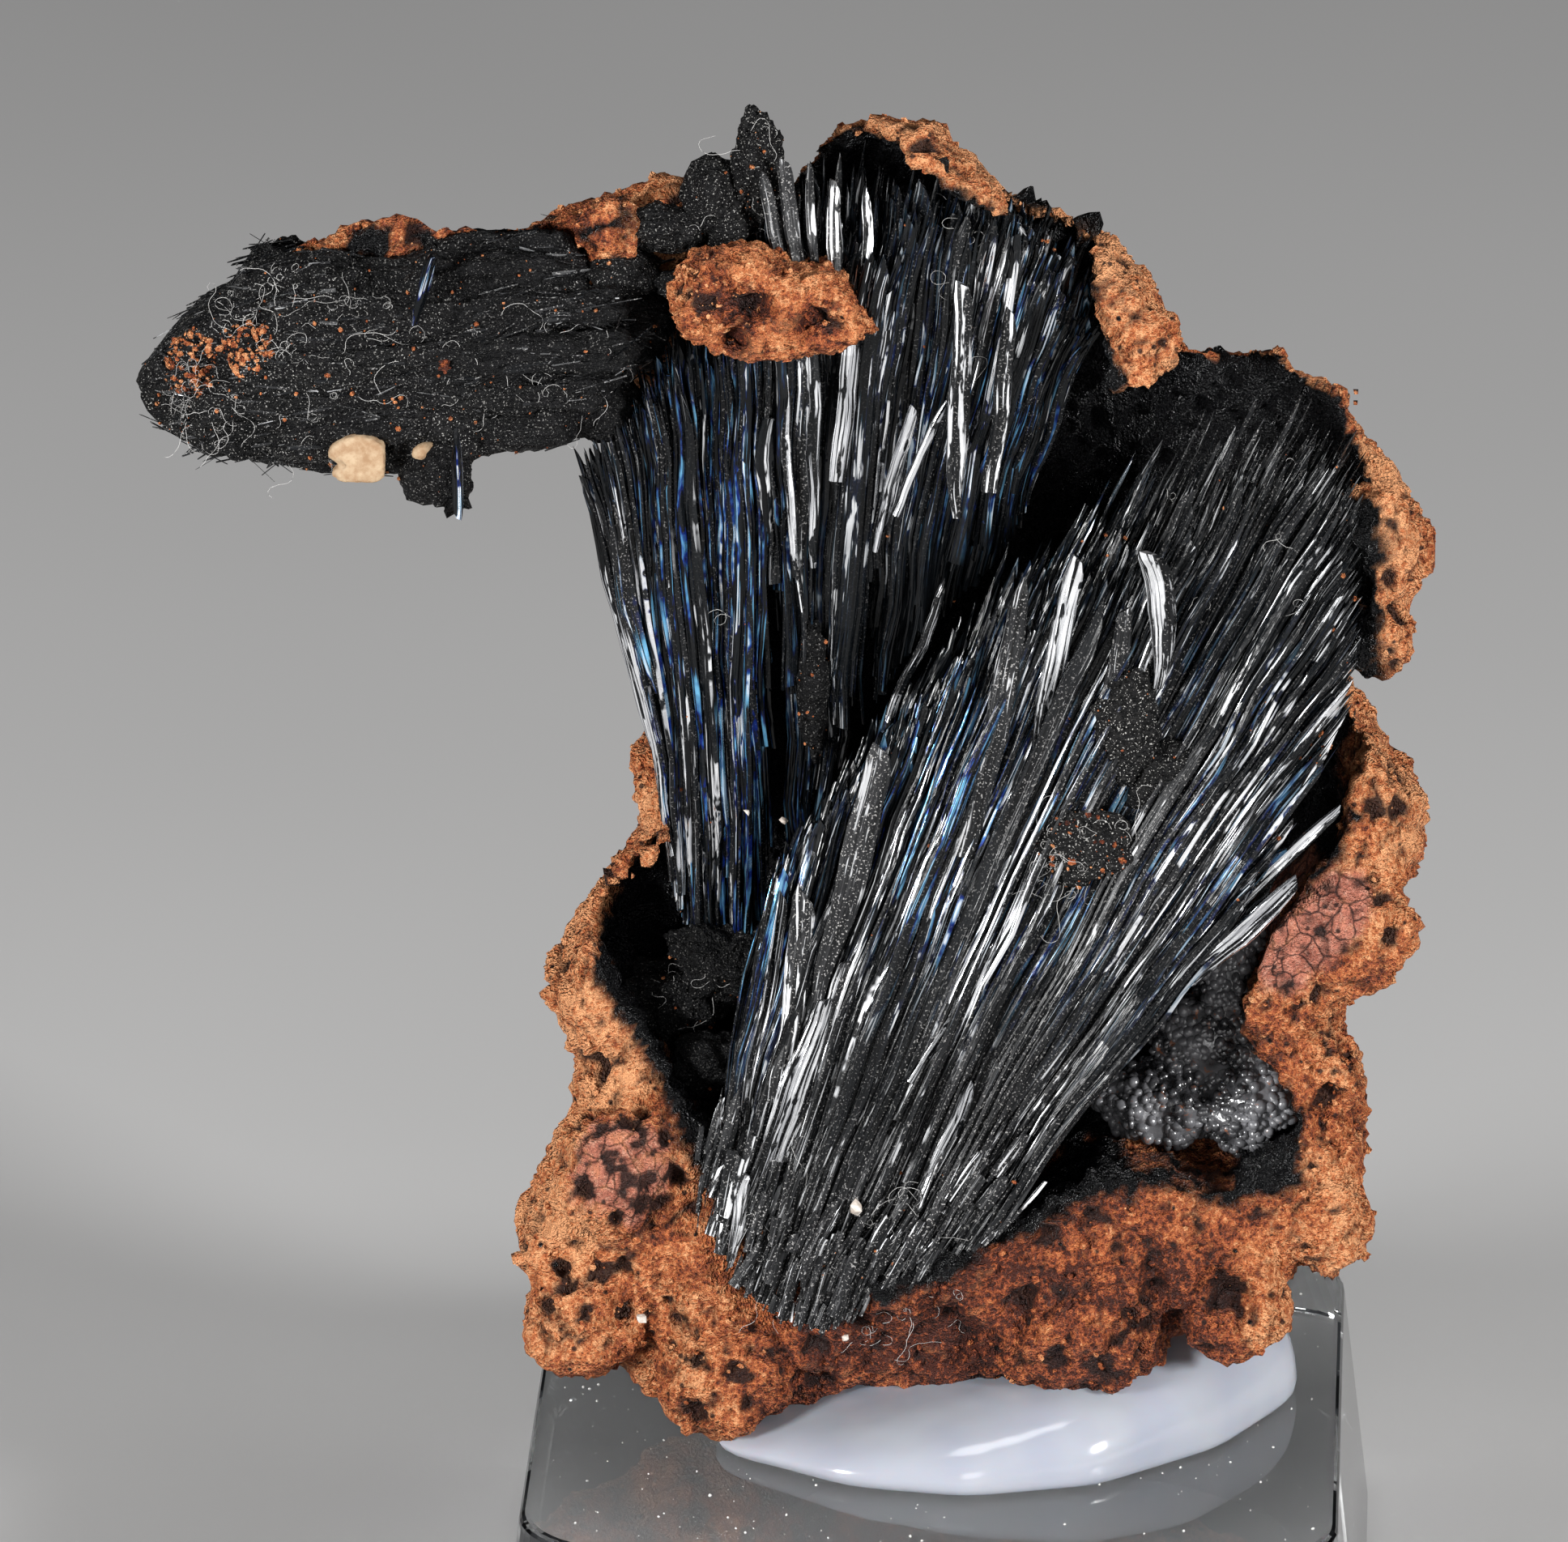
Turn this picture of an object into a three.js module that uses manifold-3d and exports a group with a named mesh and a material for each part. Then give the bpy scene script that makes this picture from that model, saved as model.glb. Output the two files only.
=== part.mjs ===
// A specimen of black-blue vivianite: two radiating sprays and a side wing of lath crystals, grown in the
// hollow of a brown ironstone matrix, and stuck with white putty to a clear acrylic display base.
// Millimetres. +X is to the viewer's right, +Y away from the viewer, +Z up.
// The origin is the centre of the base's underside.
import * as THREE from "three";
import { mergeVertices } from "three/addons/utils/BufferGeometryUtils.js";
import Module from "manifold-3d";

const wasm = await Module();
wasm.setup();

// Display base
const BASE_WIDTH = 32;
const BASE_HEIGHT = 10;
const BASE_CORNER_RADIUS = 4;
const BASE_EDGE_ROUND = 0.4;
const BASE_DRAFT_DEG = 6;

// Gap that every piece keeps to the piece it touches
const CLEARANCE = 0.3;

// Front-view outlines, as [x, z] points

// The whole brown rock behind and around the crystals
const ROCK_OUTLINE = [
  [-11.8, 37], [-10.4, 39.4], [-9.6, 42.4], [-9.4, 46], [-10, 50], [-10.6, 55], [-9.8, 59.5], [-8.4, 61.4],
  [-6.4, 63.2], [-2, 62.3], [2, 61.2], [4.7, 59.9], [6.4, 57.7], [8.4, 55], [8.8, 53.8], [11, 53.6], [14, 53.6],
  [16.5, 52.2], [17.4, 49.5], [17.8, 46.5], [17.8, 42], [16.9, 39.8], [17.6, 36], [18.3, 33.5],
  [17.8, 29.5], [15.4, 27], [16.4, 24.5], [16.6, 21.5], [17, 19.6], [15.6, 17.6], [12.8, 15.2],
  [11, 12.8], [7.5, 11.6], [1.5, 11], [-5, 11], [-8, 10.5], [-10, 10.6], [-13, 11.8], [-15.2, 14],
  [-16.6, 16.6], [-15.6, 19.4], [-15, 22], [-15.1, 25], [-15.4, 27], [-13.9, 29.5], [-12.8, 32],
  [-12.6, 35],
];
// The hollow that the sprays grew in
const HOLLOW_OUTLINE = [
  [-8.6, 44], [-9.2, 40], [-10.4, 36], [-11.6, 32.8], [-13, 31.4], [-14, 29], [-12.8, 27], [-10.6, 23.8],
  [-8.8, 21], [-7, 17.8], [-2, 16.6], [3.5, 19.5], [8, 21], [12, 20.6], [14.8, 21], [14.5, 24],
  [12.8, 26], [12, 29], [12.8, 31.5], [16, 34], [15.6, 37.5], [16.8, 40], [17.2, 43], [16.6, 48],
  [17, 52], [14, 54.4], [10.4, 54], [7.5, 52.5], [6, 58], [1, 61], [-4, 63.6], [-7.2, 63.6],
  [-9.6, 59.5], [-9.6, 54], [-9, 48],
];
// The side wing of vivianite
const WING_OUTLINE = [
  [-31.5, 52.9], [-30.3, 54.4], [-28.8, 56], [-27.3, 56.6], [-26.8, 57.9], [-24.6, 58.5], [-21, 58.7],
  [-17, 58.9], [-14, 58.8], [-11, 57.8], [-10.4, 54.5], [-12.6, 52], [-14.6, 50.6], [-17.4, 49.4],
  [-20.5, 48.8], [-24, 48.7], [-27, 49], [-29.6, 49.7], [-31.2, 50.9], [-31.6, 51.9],
];
// The brown crust along the wing's upper edge and over its back
const WING_CRUST_OUTLINE = [
  [-26.8, 57.4], [-26.2, 58.2], [-23.6, 58.9], [-21, 59.2], [-18.6, 58.8], [-16.4, 59.2], [-13.6, 59.8],
  [-11, 60], [-8.5, 60.8], [-8.8, 59], [-11, 58.2], [-14, 57.8], [-18, 57.4], [-22.6, 57.2],
];
const WING_BACK_OUTLINE = [
  [-30.4, 52.4], [-28.6, 54.4], [-26, 55.6], [-22, 56.4], [-16, 56.8], [-8, 57.4], [-8, 51.4],
  [-14, 51], [-20, 49.8], [-26, 49.8], [-30, 50.8],
];
// The brown patch that clings to the front of the left spray
const BROW_OUTLINE = [
  [-10.6, 56.6], [-9.6, 58.8], [-7.4, 59.2], [-5.6, 58.4], [-4.2, 58.5], [-3, 57.2], [-2.2, 55.9],
  [-4, 55.2], [-6.6, 54.9], [-9, 55.3],
];
// The putty's contact with the base in plan, as [x, y] points
const PUTTY_OUTLINE = [
  [-8.6, -7], [-6, -8.2], [-3.4, -10.1], [1.4, -10.9], [7, -9], [11.6, -5], [14.4, 0], [13.8, 5],
  [9.5, 8], [2, 8.8], [-5, 7], [-8.6, 1],
];

const RIGHT_ROOT = [[-7.6, -6.6, 20.2], [-5.6, -7.6, 16.9], [-2.4, -7.8, 17.2], [1.6, -7, 18.6]];
const LEFT_ROOT = [[-9, -1.6, 34], [-9, 0, 30.4], [-7.8, 0, 28.4], [-6, -0.2, 27.4]];

// Material colours
const IRONSTONE = { color: 0x8a4526, roughness: 0.95, metalness: 0 };
const VIVIANITE = { color: 0x0b0f16, roughness: 0.3, metalness: 0.1 };
const BOTRYOIDAL_BLACK = { color: 0x15171a, roughness: 0.35, metalness: 0.1 };
const PUTTY_WHITE = { color: 0xdfe4ec, roughness: 0.3, metalness: 0 };
const CLEAR_ACRYLIC = { color: 0xe8eef2, roughness: 0.05, metalness: 0, transparent: true, opacity: 0.35 };
const PALE_SHELL = { color: 0xd9b184, roughness: 0.8, metalness: 0 };

// A repeatable random source, so the part is the same each time
function seededRandom(seed) {
  let state = seed;
  return () => {
    state = (state + 0x6d2b79f5) | 0;
    let t = Math.imul(state ^ (state >>> 15), 1 | state);
    t = (t + Math.imul(t ^ (t >>> 7), 61 | t)) ^ t;
    return ((t ^ (t >>> 14)) >>> 0) / 4294967296;
  };
}

// Smooth pseudo-random unevenness of a rock face
function unevenness(x, y, z, seed) {
  return (
    Math.sin(x * 0.5 + seed) * Math.sin(z * 0.6 - seed * 1.7) +
    Math.sin(y * 0.7 + z * 0.4 + seed * 2.3) * Math.sin(x * 0.9 - y * 0.5) * 0.6 +
    Math.sin(x * 1.3 + z * 1.1 + seed) * 0.25
  );
}

// A three.js geometry as a solid, its skin moved outwards by grow
function solidOf(geometry, grow = 0) {
  const bare = geometry.clone();
  bare.deleteAttribute("normal");
  bare.deleteAttribute("uv");
  const merged = mergeVertices(bare, 1e-4);
  const toSolid = () =>
    new wasm.Manifold(
      new wasm.Mesh({
        numProp: 3,
        vertProperties: merged.attributes.position.array,
        triVerts: new Uint32Array(merged.index.array),
      }),
    );
  if (toSolid().volume() < 0) merged.setIndex(Array.from(merged.index.array).reverse());
  if (grow) {
    merged.computeVertexNormals();
    const { position, normal } = merged.attributes;
    for (let i = 0; i < position.count; i++) {
      const [x, y, z] = ["getX", "getY", "getZ"].map((get) => position[get](i) + normal[get](i) * grow);
      position.setXYZ(i, x, y, z);
    }
  }
  return toSolid();
}

// The biggest of a solid's separate bodies
function largestBody(solid) {
  return solid.decompose().reduce((best, body) => (body.volume() > best.volume() ? body : best));
}

const joined = (solids) => solids.reduce((all, one) => all.add(one));

// A lump bounded by a front-view outline, bulging to a front and a back depth.
// lean(z) shifts it in depth, and grow swells it for cutting a clearance.
function lump(outline, { front, back, around, across, fullness = 0.55, roughness = 0, seed = 1, lean, grow }) {
  const rim = new THREE.CatmullRomCurve3(
    outline.map(([x, z]) => new THREE.Vector3(x, 0, z)),
    true,
    "centripetal",
  );
  const bounds = new THREE.Box3().setFromPoints(rim.getPoints(outline.length));
  const middle = bounds.getCenter(new THREE.Vector3());
  const half = bounds.getSize(new THREE.Vector3()).multiplyScalar(0.5);
  const geometry = new THREE.SphereGeometry(1, around, across);
  const position = geometry.attributes.position;
  for (let i = 0; i < position.count; i++) {
    const column = i % (around + 1);
    const row = Math.floor(i / (around + 1));
    const turn = (Math.PI * row) / across;
    const spread = Math.sin(turn);
    const rise = Math.sign(Math.cos(turn)) * Math.sqrt(Math.max(0, 1 - spread ** (2 / fullness)));
    const edge = rim.getPointAt((column % around) / around);
    const outward = edge.clone().sub(middle);
    // Towards the front and back the section eases from the outline to an oval
    const oval = 1 / Math.hypot(outward.x / half.x, outward.z / half.z);
    outward.multiplyScalar(spread * THREE.MathUtils.lerp(Math.min(oval, 1.15), 1, spread ** 2));
    const [x, z] = [middle.x + outward.x, middle.z + outward.z];
    const y = rise * (rise > 0 ? back : -front) + (lean ? lean(z) : 0);
    const bump = roughness * unevenness(x, y, z, seed);
    position.setXYZ(
      i,
      x + (bump * (x - middle.x)) / 12,
      y + bump * rise * 1.2,
      z + (bump * (z - middle.z)) / 16,
    );
  }
  return solidOf(geometry, grow);
}

// A small rounded or angular knob
function knob([x, y, z], size, detail, { seed = 1, squash = [1, 1, 1], grow = 0 } = {}) {
  const geometry = new THREE.IcosahedronGeometry(size, detail);
  const position = geometry.attributes.position;
  for (let i = 0; i < position.count; i++) {
    const [px, py, pz] = [position.getX(i), position.getY(i), position.getZ(i)];
    const k = 1 + 0.14 * Math.sin(px * 5 + seed) * Math.cos(pz * 4 + py * 3 + seed * 2);
    position.setXYZ(i, px * k * squash[0], py * k * squash[1], pz * k * squash[2]);
  }
  geometry.translate(x, y, z);
  return solidOf(geometry, grow);
}

// One lath crystal: a flat blade widening from its root to a slanted tip, its broad face towards the viewer
function lath({ root, tip, width, thickness, spin, slant }, grow = 0) {
  const ROOT_WIDTH = 0.5;
  const along = new THREE.Vector3().subVectors(tip, root);
  const length = along.length() + 2 * grow;
  along.normalize();
  const geometry = new THREE.BoxGeometry(1, length, 1);
  const position = geometry.attributes.position;
  for (let i = 0; i < position.count; i++) {
    const [x, y, z] = [position.getX(i), position.getY(i), position.getZ(i)];
    const atTip = y > 0;
    position.setXYZ(
      i,
      x * (width * (atTip ? 1 : ROOT_WIDTH) + 2 * grow),
      atTip ? y - width * slant * (x + 0.5) : y,
      z * (thickness * (atTip ? 0.7 : 1) + 2 * grow),
    );
  }
  const towardsViewer = new THREE.Vector3(Math.sin(spin), -Math.cos(spin), 0);
  const side = new THREE.Vector3().crossVectors(along, towardsViewer).normalize();
  const face = new THREE.Vector3().crossVectors(side, along);
  geometry.applyMatrix4(new THREE.Matrix4().makeBasis(side, along, face));
  const centre = new THREE.Vector3().addVectors(root, tip).multiplyScalar(0.5);
  geometry.translate(centre.x, centre.y, centre.z);
  return solidOf(geometry);
}

// The laths of one fan layer, spread between a root line and a tip line
function fanLayer({ roots, tips, count, width, thickness, shortest, shift = 0 }, random) {
  const line = (points) =>
    new THREE.CatmullRomCurve3(points.map((p) => new THREE.Vector3(...p)), false, "centripetal");
  const rootLine = line(roots);
  const tipLine = line(tips);
  return Array.from({ length: count }, (_, i) => {
    const t = (i + 0.5) / count;
    const root = rootLine.getPoint(t);
    const fullTip = tipLine.getPoint(t);
    const tip = root.clone().lerp(fullTip, shortest + (1 - shortest) * random());
    root.y += shift;
    tip.y += shift * 0.5 + (random() - 0.5) * 0.7;
    return {
      root,
      tip,
      width: width * (0.75 + 0.5 * random()),
      thickness: thickness * (0.8 + 0.4 * random()),
      spin: (random() - 0.5) * 0.8,
      slant: (random() - 0.5) * 1.6,
    };
  });
}

// Ironstone matrix
// The lower part of the rock comes forward as the cup that the right spray stands in.
const cupLean = (z) => -3.6 * THREE.MathUtils.smoothstep(30 - z, 0, 14);

function ironstone(grow = 0) {
  const outer = lump(ROCK_OUTLINE, {
    front: -4.6, back: 8.8, around: 44, across: 12, fullness: 0.68, roughness: 0.8, seed: 2.1, lean: cupLean, grow,
  });
  const hollow = lump(HOLLOW_OUTLINE, {
    front: -18, back: 5, around: 28, across: 8, fullness: 0.5, roughness: 0.4, seed: 4.7, grow: -grow,
  });
  const wingCrust = lump(WING_CRUST_OUTLINE, {
    front: -0.9, back: 3.4, around: 22, across: 5, roughness: 0.5, seed: 3.3, grow,
  });
  const wingBack = lump(WING_BACK_OUTLINE, {
    front: -0.5, back: 3.2, around: 16, across: 5, roughness: 0.6, seed: 5.2, lean: () => 3.2, grow,
  });
  const KNOBS = [
    [[16.7, -1, 47.2], 1.7], [[17, -0.8, 42.6], 1.6], [[16.2, -2, 31], 2.7],
    [[15.4, -2.6, 25.2], 1.7], [[15.2, -4.2, 19.4], 2.2], [[11.8, -5.4, 16.4], 2.3],
    [[6, -5.2, 15.6], 3.4], [[-12.6, -5.2, 21.4], 2.6], [[-13.8, -4.8, 15.4], 2.8],
    [[-8.2, -6, 13.4], 2.8], [[8.2, -1.2, 54.8], 1.4], [[-12.8, -1.2, 58.9], 1.6],
  ];
  const knobs = KNOBS.map(([at, size], i) => knob(at, size, 1, { seed: i, squash: [1, 0.8, 1], grow }));
  // The rim is broken away behind the left spray's outer blades
  const notch = knob([-12, -6.5, 47], 1, 1, { squash: [7, 9.8, 14], grow: -grow });
  const PITS = [[[11.6, -7.6, 16.6], 1.1], [[9.8, -8.2, 13], 0.8], [[-8.6, -8.8, 16.8], 0.9]];
  const pits = PITS.map(([at, size], i) => knob(at, size, 1, { seed: i }));
  const shell = joined([outer.subtract(notch), wingCrust, wingBack]).subtract(hollow).add(joined(knobs));
  if (grow) return shell;
  return largestBody(shell.subtract(joined(pits)).subtract(displayBase(CLEARANCE)));
}

// Crystals
const RIGHT_BLADES = (() => {
  const random = seededRandom(11);
  const layers = [
    {
      roots: RIGHT_ROOT, count: 13, width: 2.5, thickness: 1.3, shortest: 0.93, shift: 2,
      tips: [
        [-6, -1.5, 34], [-2, -1.5, 40], [4.6, -1, 48], [7, -0.5, 49], [10, 0, 52], [14, 0, 53],
        [16.8, -0.6, 51.6], [17, -0.6, 46], [17, -0.6, 42], [16, -1.2, 38.6], [15, -1.6, 36], [13.4, -2.4, 33],
      ],
    },
    {
      roots: RIGHT_ROOT, count: 9, width: 2.2, thickness: 1.2, shortest: 0.8, shift: 1,
      tips: [
        [-6.4, -4, 32], [-2, -4, 39], [3, -3.4, 44], [5.6, -3, 46.6], [9, -2.6, 47.4], [13, -2, 50],
        [16.6, -2, 50.4], [16.6, -2, 44], [15.6, -2.6, 39], [14.4, -3, 35.8], [12.6, -3.6, 32.6],
      ],
    },
    {
      roots: RIGHT_ROOT, count: 6, width: 2.1, thickness: 1.2, shortest: 0.7, shift: 0,
      tips: [
        [-6.6, -6, 29], [-3, -6, 34.6], [1.6, -5.6, 38], [5.6, -5, 39.6], [9, -4.6, 40], [12.4, -4.2, 38],
        [12.6, -4.4, 34], [10.4, -5, 29.6],
      ],
    },
  ];
  const CURVED = { root: [6.4, -4.4, 41], tip: [8.8, -5, 48.4], width: 1.5, thickness: 0.8, spin: 0.3, slant: 0.8 };
  return layers
    .flatMap((layer) => fanLayer(layer, random))
    .concat({ ...CURVED, root: new THREE.Vector3(...CURVED.root), tip: new THREE.Vector3(...CURVED.tip) });
})();

const LEFT_BLADES = (() => {
  const random = seededRandom(23);
  const layers = [
    {
      roots: LEFT_ROOT, count: 11, width: 2.8, thickness: 1.5, shortest: 0.97, shift: 1.5,
      tips: [
        [-14.2, -1.4, 50], [-12.6, -1, 52], [-10, 0.6, 57], [-8.6, 0.6, 61], [-6, 0, 63.2], [-3.5, 0.6, 61.8],
        [-1, 1, 61.4], [1, 1, 61], [3.4, 1, 60.2], [5.4, 1, 59.4], [6.4, 1, 56], [5.4, 1, 51.6], [4, 1, 47],
      ],
    },
    {
      roots: LEFT_ROOT, count: 8, width: 2.4, thickness: 1.3, shortest: 0.84, shift: 0.7,
      tips: [
        [-13.8, -1.4, 50.4], [-11, -1, 52], [-9, -1, 54], [-6.5, -1, 54.2], [-3, -1, 55], [-1, -0.8, 59.4],
        [1.4, -0.6, 60.2], [4, -0.6, 58.6], [5.2, -0.4, 54.6], [3.6, -0.4, 48],
      ],
    },
    {
      roots: LEFT_ROOT, count: 5, width: 2.2, thickness: 1.2, shortest: 0.7, shift: -0.2,
      tips: [
        [-12, -2, 46], [-9.6, -2.4, 51], [-7, -2.6, 53.4], [-4, -2.6, 53], [-1, -2.4, 50], [0.6, -2.2, 46],
      ],
    },
  ];
  return layers.flatMap((layer) => fanLayer(layer, random));
})();

const WING_BLADES = (() => {
  const random = seededRandom(37);
  const rows = [
    [[-12.4, -2.6, 56.8], [-26.6, -2.2, 55.6]],
    [[-12, -3.4, 55.2], [-27.6, -3, 53.8]],
    [[-13, -3.4, 53.4], [-28.6, -2.4, 52.4]],
    [[-14.6, -2.8, 51.9], [-26, -2.6, 50.7]],
  ];
  const long = rows.map(([root, tip]) => ({
    root: new THREE.Vector3(...root), tip: new THREE.Vector3(...tip),
    width: 1.9, thickness: 2 + random(), spin: 0, slant: random() - 0.5,
  }));
  // Two bright needles grown across the wing
  const NEEDLES = [
    { root: [-20.2, -3.4, 56.6], tip: [-19.4, -4.6, 59.9] },
    { root: [-18.4, -3, 52.6], tip: [-18.5, -4.4, 48.4] },
  ];
  const needles = NEEDLES.map(({ root, tip }) => ({
    root: new THREE.Vector3(...root), tip: new THREE.Vector3(...tip),
    width: 0.9, thickness: 0.8, spin: 0.4, slant: 0,
  }));
  return [...long, ...needles];
})();

const sprayOf = (blades, grow = 0) => joined(blades.map((blade) => lath(blade, grow)));

function wingBody(grow = 0) {
  return lump(WING_OUTLINE, {
    front: -3.6, back: 3.2, around: 22, across: 6, roughness: 0.45, seed: 6.4, grow,
  }).add(sprayOf(WING_BLADES, grow));
}

// Black botryoidal crust of the lower right pocket
function rightPocketCrust() {
  const RIDGES = [
    [[11.8, 0.6, 28], 1.8, [1, 0.9, 1.3]],
    [[10.8, 0.6, 25.4], 2, [1.2, 0.9, 0.9]],
    [[9, 0.2, 22.6], 2, [1.4, 0.9, 0.8]],
    [[12.6, -0.6, 22.8], 2, [1, 0.9, 1]],
  ];
  const ridges = RIDGES.map(([at, size, squash], i) => knob(at, size, 1, { seed: i, squash }));
  return joined(ridges);
}

// The broken black crystal at the left spray's peak
const peakMass = () => knob([-8, -0.6, 59.8], 1.7, 1, { seed: 7, squash: [1, 0.7, 1.6] });

// The knobbly black mass that the left spray fans out of
function leftFoot() {
  const MASSES = [
    [[-10.2, 1.8, 27.2], 2.4, [1, 1.1, 0.8]],
    [[-7.6, 1.8, 26.4], 2.4, [1.1, 1.1, 0.8]],
  ];
  return joined(MASSES.map(([at, size, squash], i) => knob(at, size, 1, { seed: i + 3, squash })));
}

// Mounting putty: a pad pressed between rock and base, thick under the raised right side
function puttyPad() {
  const HEIGHT_LEFT = 1.2;
  const HEIGHT_RIGHT = 5.4;
  const [AROUND, ACROSS] = [22, 6];
  const geometry = new THREE.SphereGeometry(1, AROUND, ACROSS);
  const rim = new THREE.CatmullRomCurve3(
    PUTTY_OUTLINE.map(([x, y]) => new THREE.Vector3(x, y, 0)),
    true,
    "centripetal",
  );
  const middle = new THREE.Vector3(2.6, -1, 0);
  const position = geometry.attributes.position;
  for (let i = 0; i < position.count; i++) {
    const turn = (Math.PI * Math.floor(i / (AROUND + 1))) / ACROSS;
    const edge = rim.getPointAt(((i % (AROUND + 1)) % AROUND) / AROUND);
    const spread = Math.sin(turn) ** 0.5;
    const x = middle.x + (edge.x - middle.x) * spread;
    const y = middle.y + (edge.y - middle.y) * spread;
    const height = THREE.MathUtils.mapLinear(x, -8.6, 14.4, HEIGHT_LEFT, HEIGHT_RIGHT);
    // The lower half is pressed flat on the base
    const rise = Math.cos(turn) > 0 ? Math.cos(turn) : 0;
    position.setXYZ(i, x, y, BASE_HEIGHT + 0.1 + (0.25 * Math.sin(turn) ** 3 + rise) * height);
  }
  return solidOf(geometry);
}

// Clear acrylic base: a rounded square whose sides lean out towards its foot
function displayBase(raise = 0) {
  const half = BASE_WIDTH / 2;
  const inner = half - BASE_CORNER_RADIUS;
  const shape = new THREE.Shape();
  const CORNERS = [[1, 1, 0], [-1, 1, 0.5], [-1, -1, 1], [1, -1, 1.5]];
  for (const [sx, sy, start] of CORNERS)
    shape.absarc(sx * inner, sy * inner, BASE_CORNER_RADIUS, start * Math.PI, (start + 0.5) * Math.PI, false);
  const geometry = new THREE.ExtrudeGeometry(shape, {
    depth: BASE_HEIGHT - 2 * BASE_EDGE_ROUND,
    bevelThickness: BASE_EDGE_ROUND,
    bevelSize: BASE_EDGE_ROUND,
    bevelOffset: -BASE_EDGE_ROUND,
    bevelSegments: 1,
    curveSegments: 3,
  });
  geometry.translate(0, 0, BASE_EDGE_ROUND);
  const lean = Math.tan(THREE.MathUtils.degToRad(BASE_DRAFT_DEG)) / half;
  const position = geometry.attributes.position;
  for (let i = 0; i < position.count; i++) {
    const wider = 1 + (BASE_HEIGHT - position.getZ(i)) * lean;
    position.setXYZ(i, position.getX(i) * wider, position.getY(i) * wider, position.getZ(i) + raise);
  }
  return solidOf(geometry);
}

function brow(grow = 0) {
  const patch = lump(BROW_OUTLINE, {
    front: -1.9, back: 3, around: 20, across: 6, roughness: 0.5, seed: 8.8, lean: () => -3.6, grow,
  });
  const CRATERS = [[[-8, -5.8, 57.6], 0.8], [[-7.6, -5.8, 56.2], 0.6], [[-4.6, -5.6, 56.8], 0.7]];
  return grow ? patch : patch.subtract(joined(CRATERS.map(([at, size], i) => knob(at, size, 0, { seed: i }))));
}

// A pale shell chip set in the underside of the wing
function paleChip(grow = 0) {
  const geometry = new THREE.BoxGeometry(2 + grow, 1 + grow, 1.8 + grow, 2, 1, 2);
  const position = geometry.attributes.position;
  for (let i = 0; i < position.count; i++) {
    const rounding = position.getX(i) < -0.5 ? 0.7 : 1;
    position.setZ(i, position.getZ(i) * rounding);
  }
  geometry.translate(-22.4, -4.1, 50.6);
  return solidOf(geometry);
}

const group = new THREE.Group();

function place(name, solid, material) {
  const { vertProperties, triVerts, numProp } = largestBody(solid).getMesh();
  const geometry = new THREE.BufferGeometry();
  geometry.setAttribute("position", new THREE.BufferAttribute(vertProperties, numProp));
  geometry.setIndex(new THREE.BufferAttribute(triVerts, 1));
  geometry.computeVertexNormals();
  const mesh = new THREE.Mesh(geometry, new THREE.MeshStandardMaterial({ ...material, flatShading: true }));
  mesh.name = name;
  group.add(mesh);
}

const rockRoom = ironstone(CLEARANCE);
const browRoom = brow(CLEARANCE);
const sprays = sprayOf([...RIGHT_BLADES, ...LEFT_BLADES]).add(leftFoot()).add(peakMass());
const sprayRoom = sprayOf(LEFT_BLADES, CLEARANCE);
const wing = wingBody().subtract(rockRoom).subtract(sprayRoom).subtract(paleChip(CLEARANCE));

place("acrylic_base", displayBase(), CLEAR_ACRYLIC);
place("mounting_putty", puttyPad().subtract(rockRoom), PUTTY_WHITE);
place("ironstone_matrix", ironstone(), IRONSTONE);
place("vivianite_sprays", sprays.subtract(rockRoom).subtract(browRoom), VIVIANITE);
place("vivianite_wing", wing, VIVIANITE);
place("brow_crust", brow().subtract(rockRoom), IRONSTONE);
place("right_pocket_crust", rightPocketCrust().subtract(rockRoom), BOTRYOIDAL_BLACK);
place("pale_chip", paleChip(), PALE_SHELL);

export default group;
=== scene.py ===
"""Vivianite sprays in an ironstone hollow, stuck with white putty to a clear display base.

Metres, in the CAD's frame: +X to the viewer's right, +Y away from the viewer, +Z up.
"""
import math
import random

import bmesh
import bpy
import numpy as np
from mathutils import Matrix, Vector, noise


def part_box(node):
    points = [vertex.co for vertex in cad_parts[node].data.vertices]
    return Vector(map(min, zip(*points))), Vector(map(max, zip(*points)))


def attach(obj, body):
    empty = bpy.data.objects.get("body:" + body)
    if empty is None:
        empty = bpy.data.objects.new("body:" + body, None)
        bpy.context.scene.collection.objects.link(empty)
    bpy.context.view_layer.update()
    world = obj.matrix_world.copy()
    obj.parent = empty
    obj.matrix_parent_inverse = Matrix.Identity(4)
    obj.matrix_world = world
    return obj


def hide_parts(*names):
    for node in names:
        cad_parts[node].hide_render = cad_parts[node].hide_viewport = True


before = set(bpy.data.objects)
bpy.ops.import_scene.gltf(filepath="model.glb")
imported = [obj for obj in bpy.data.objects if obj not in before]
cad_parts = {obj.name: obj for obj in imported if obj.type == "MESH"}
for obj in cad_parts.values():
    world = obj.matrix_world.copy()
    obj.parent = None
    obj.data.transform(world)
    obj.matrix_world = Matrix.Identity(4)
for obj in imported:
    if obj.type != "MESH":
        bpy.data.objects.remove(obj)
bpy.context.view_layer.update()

MM = 0.001

# The slow waves in wavered come out the same in each run
noise.seed_set(7)

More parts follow.
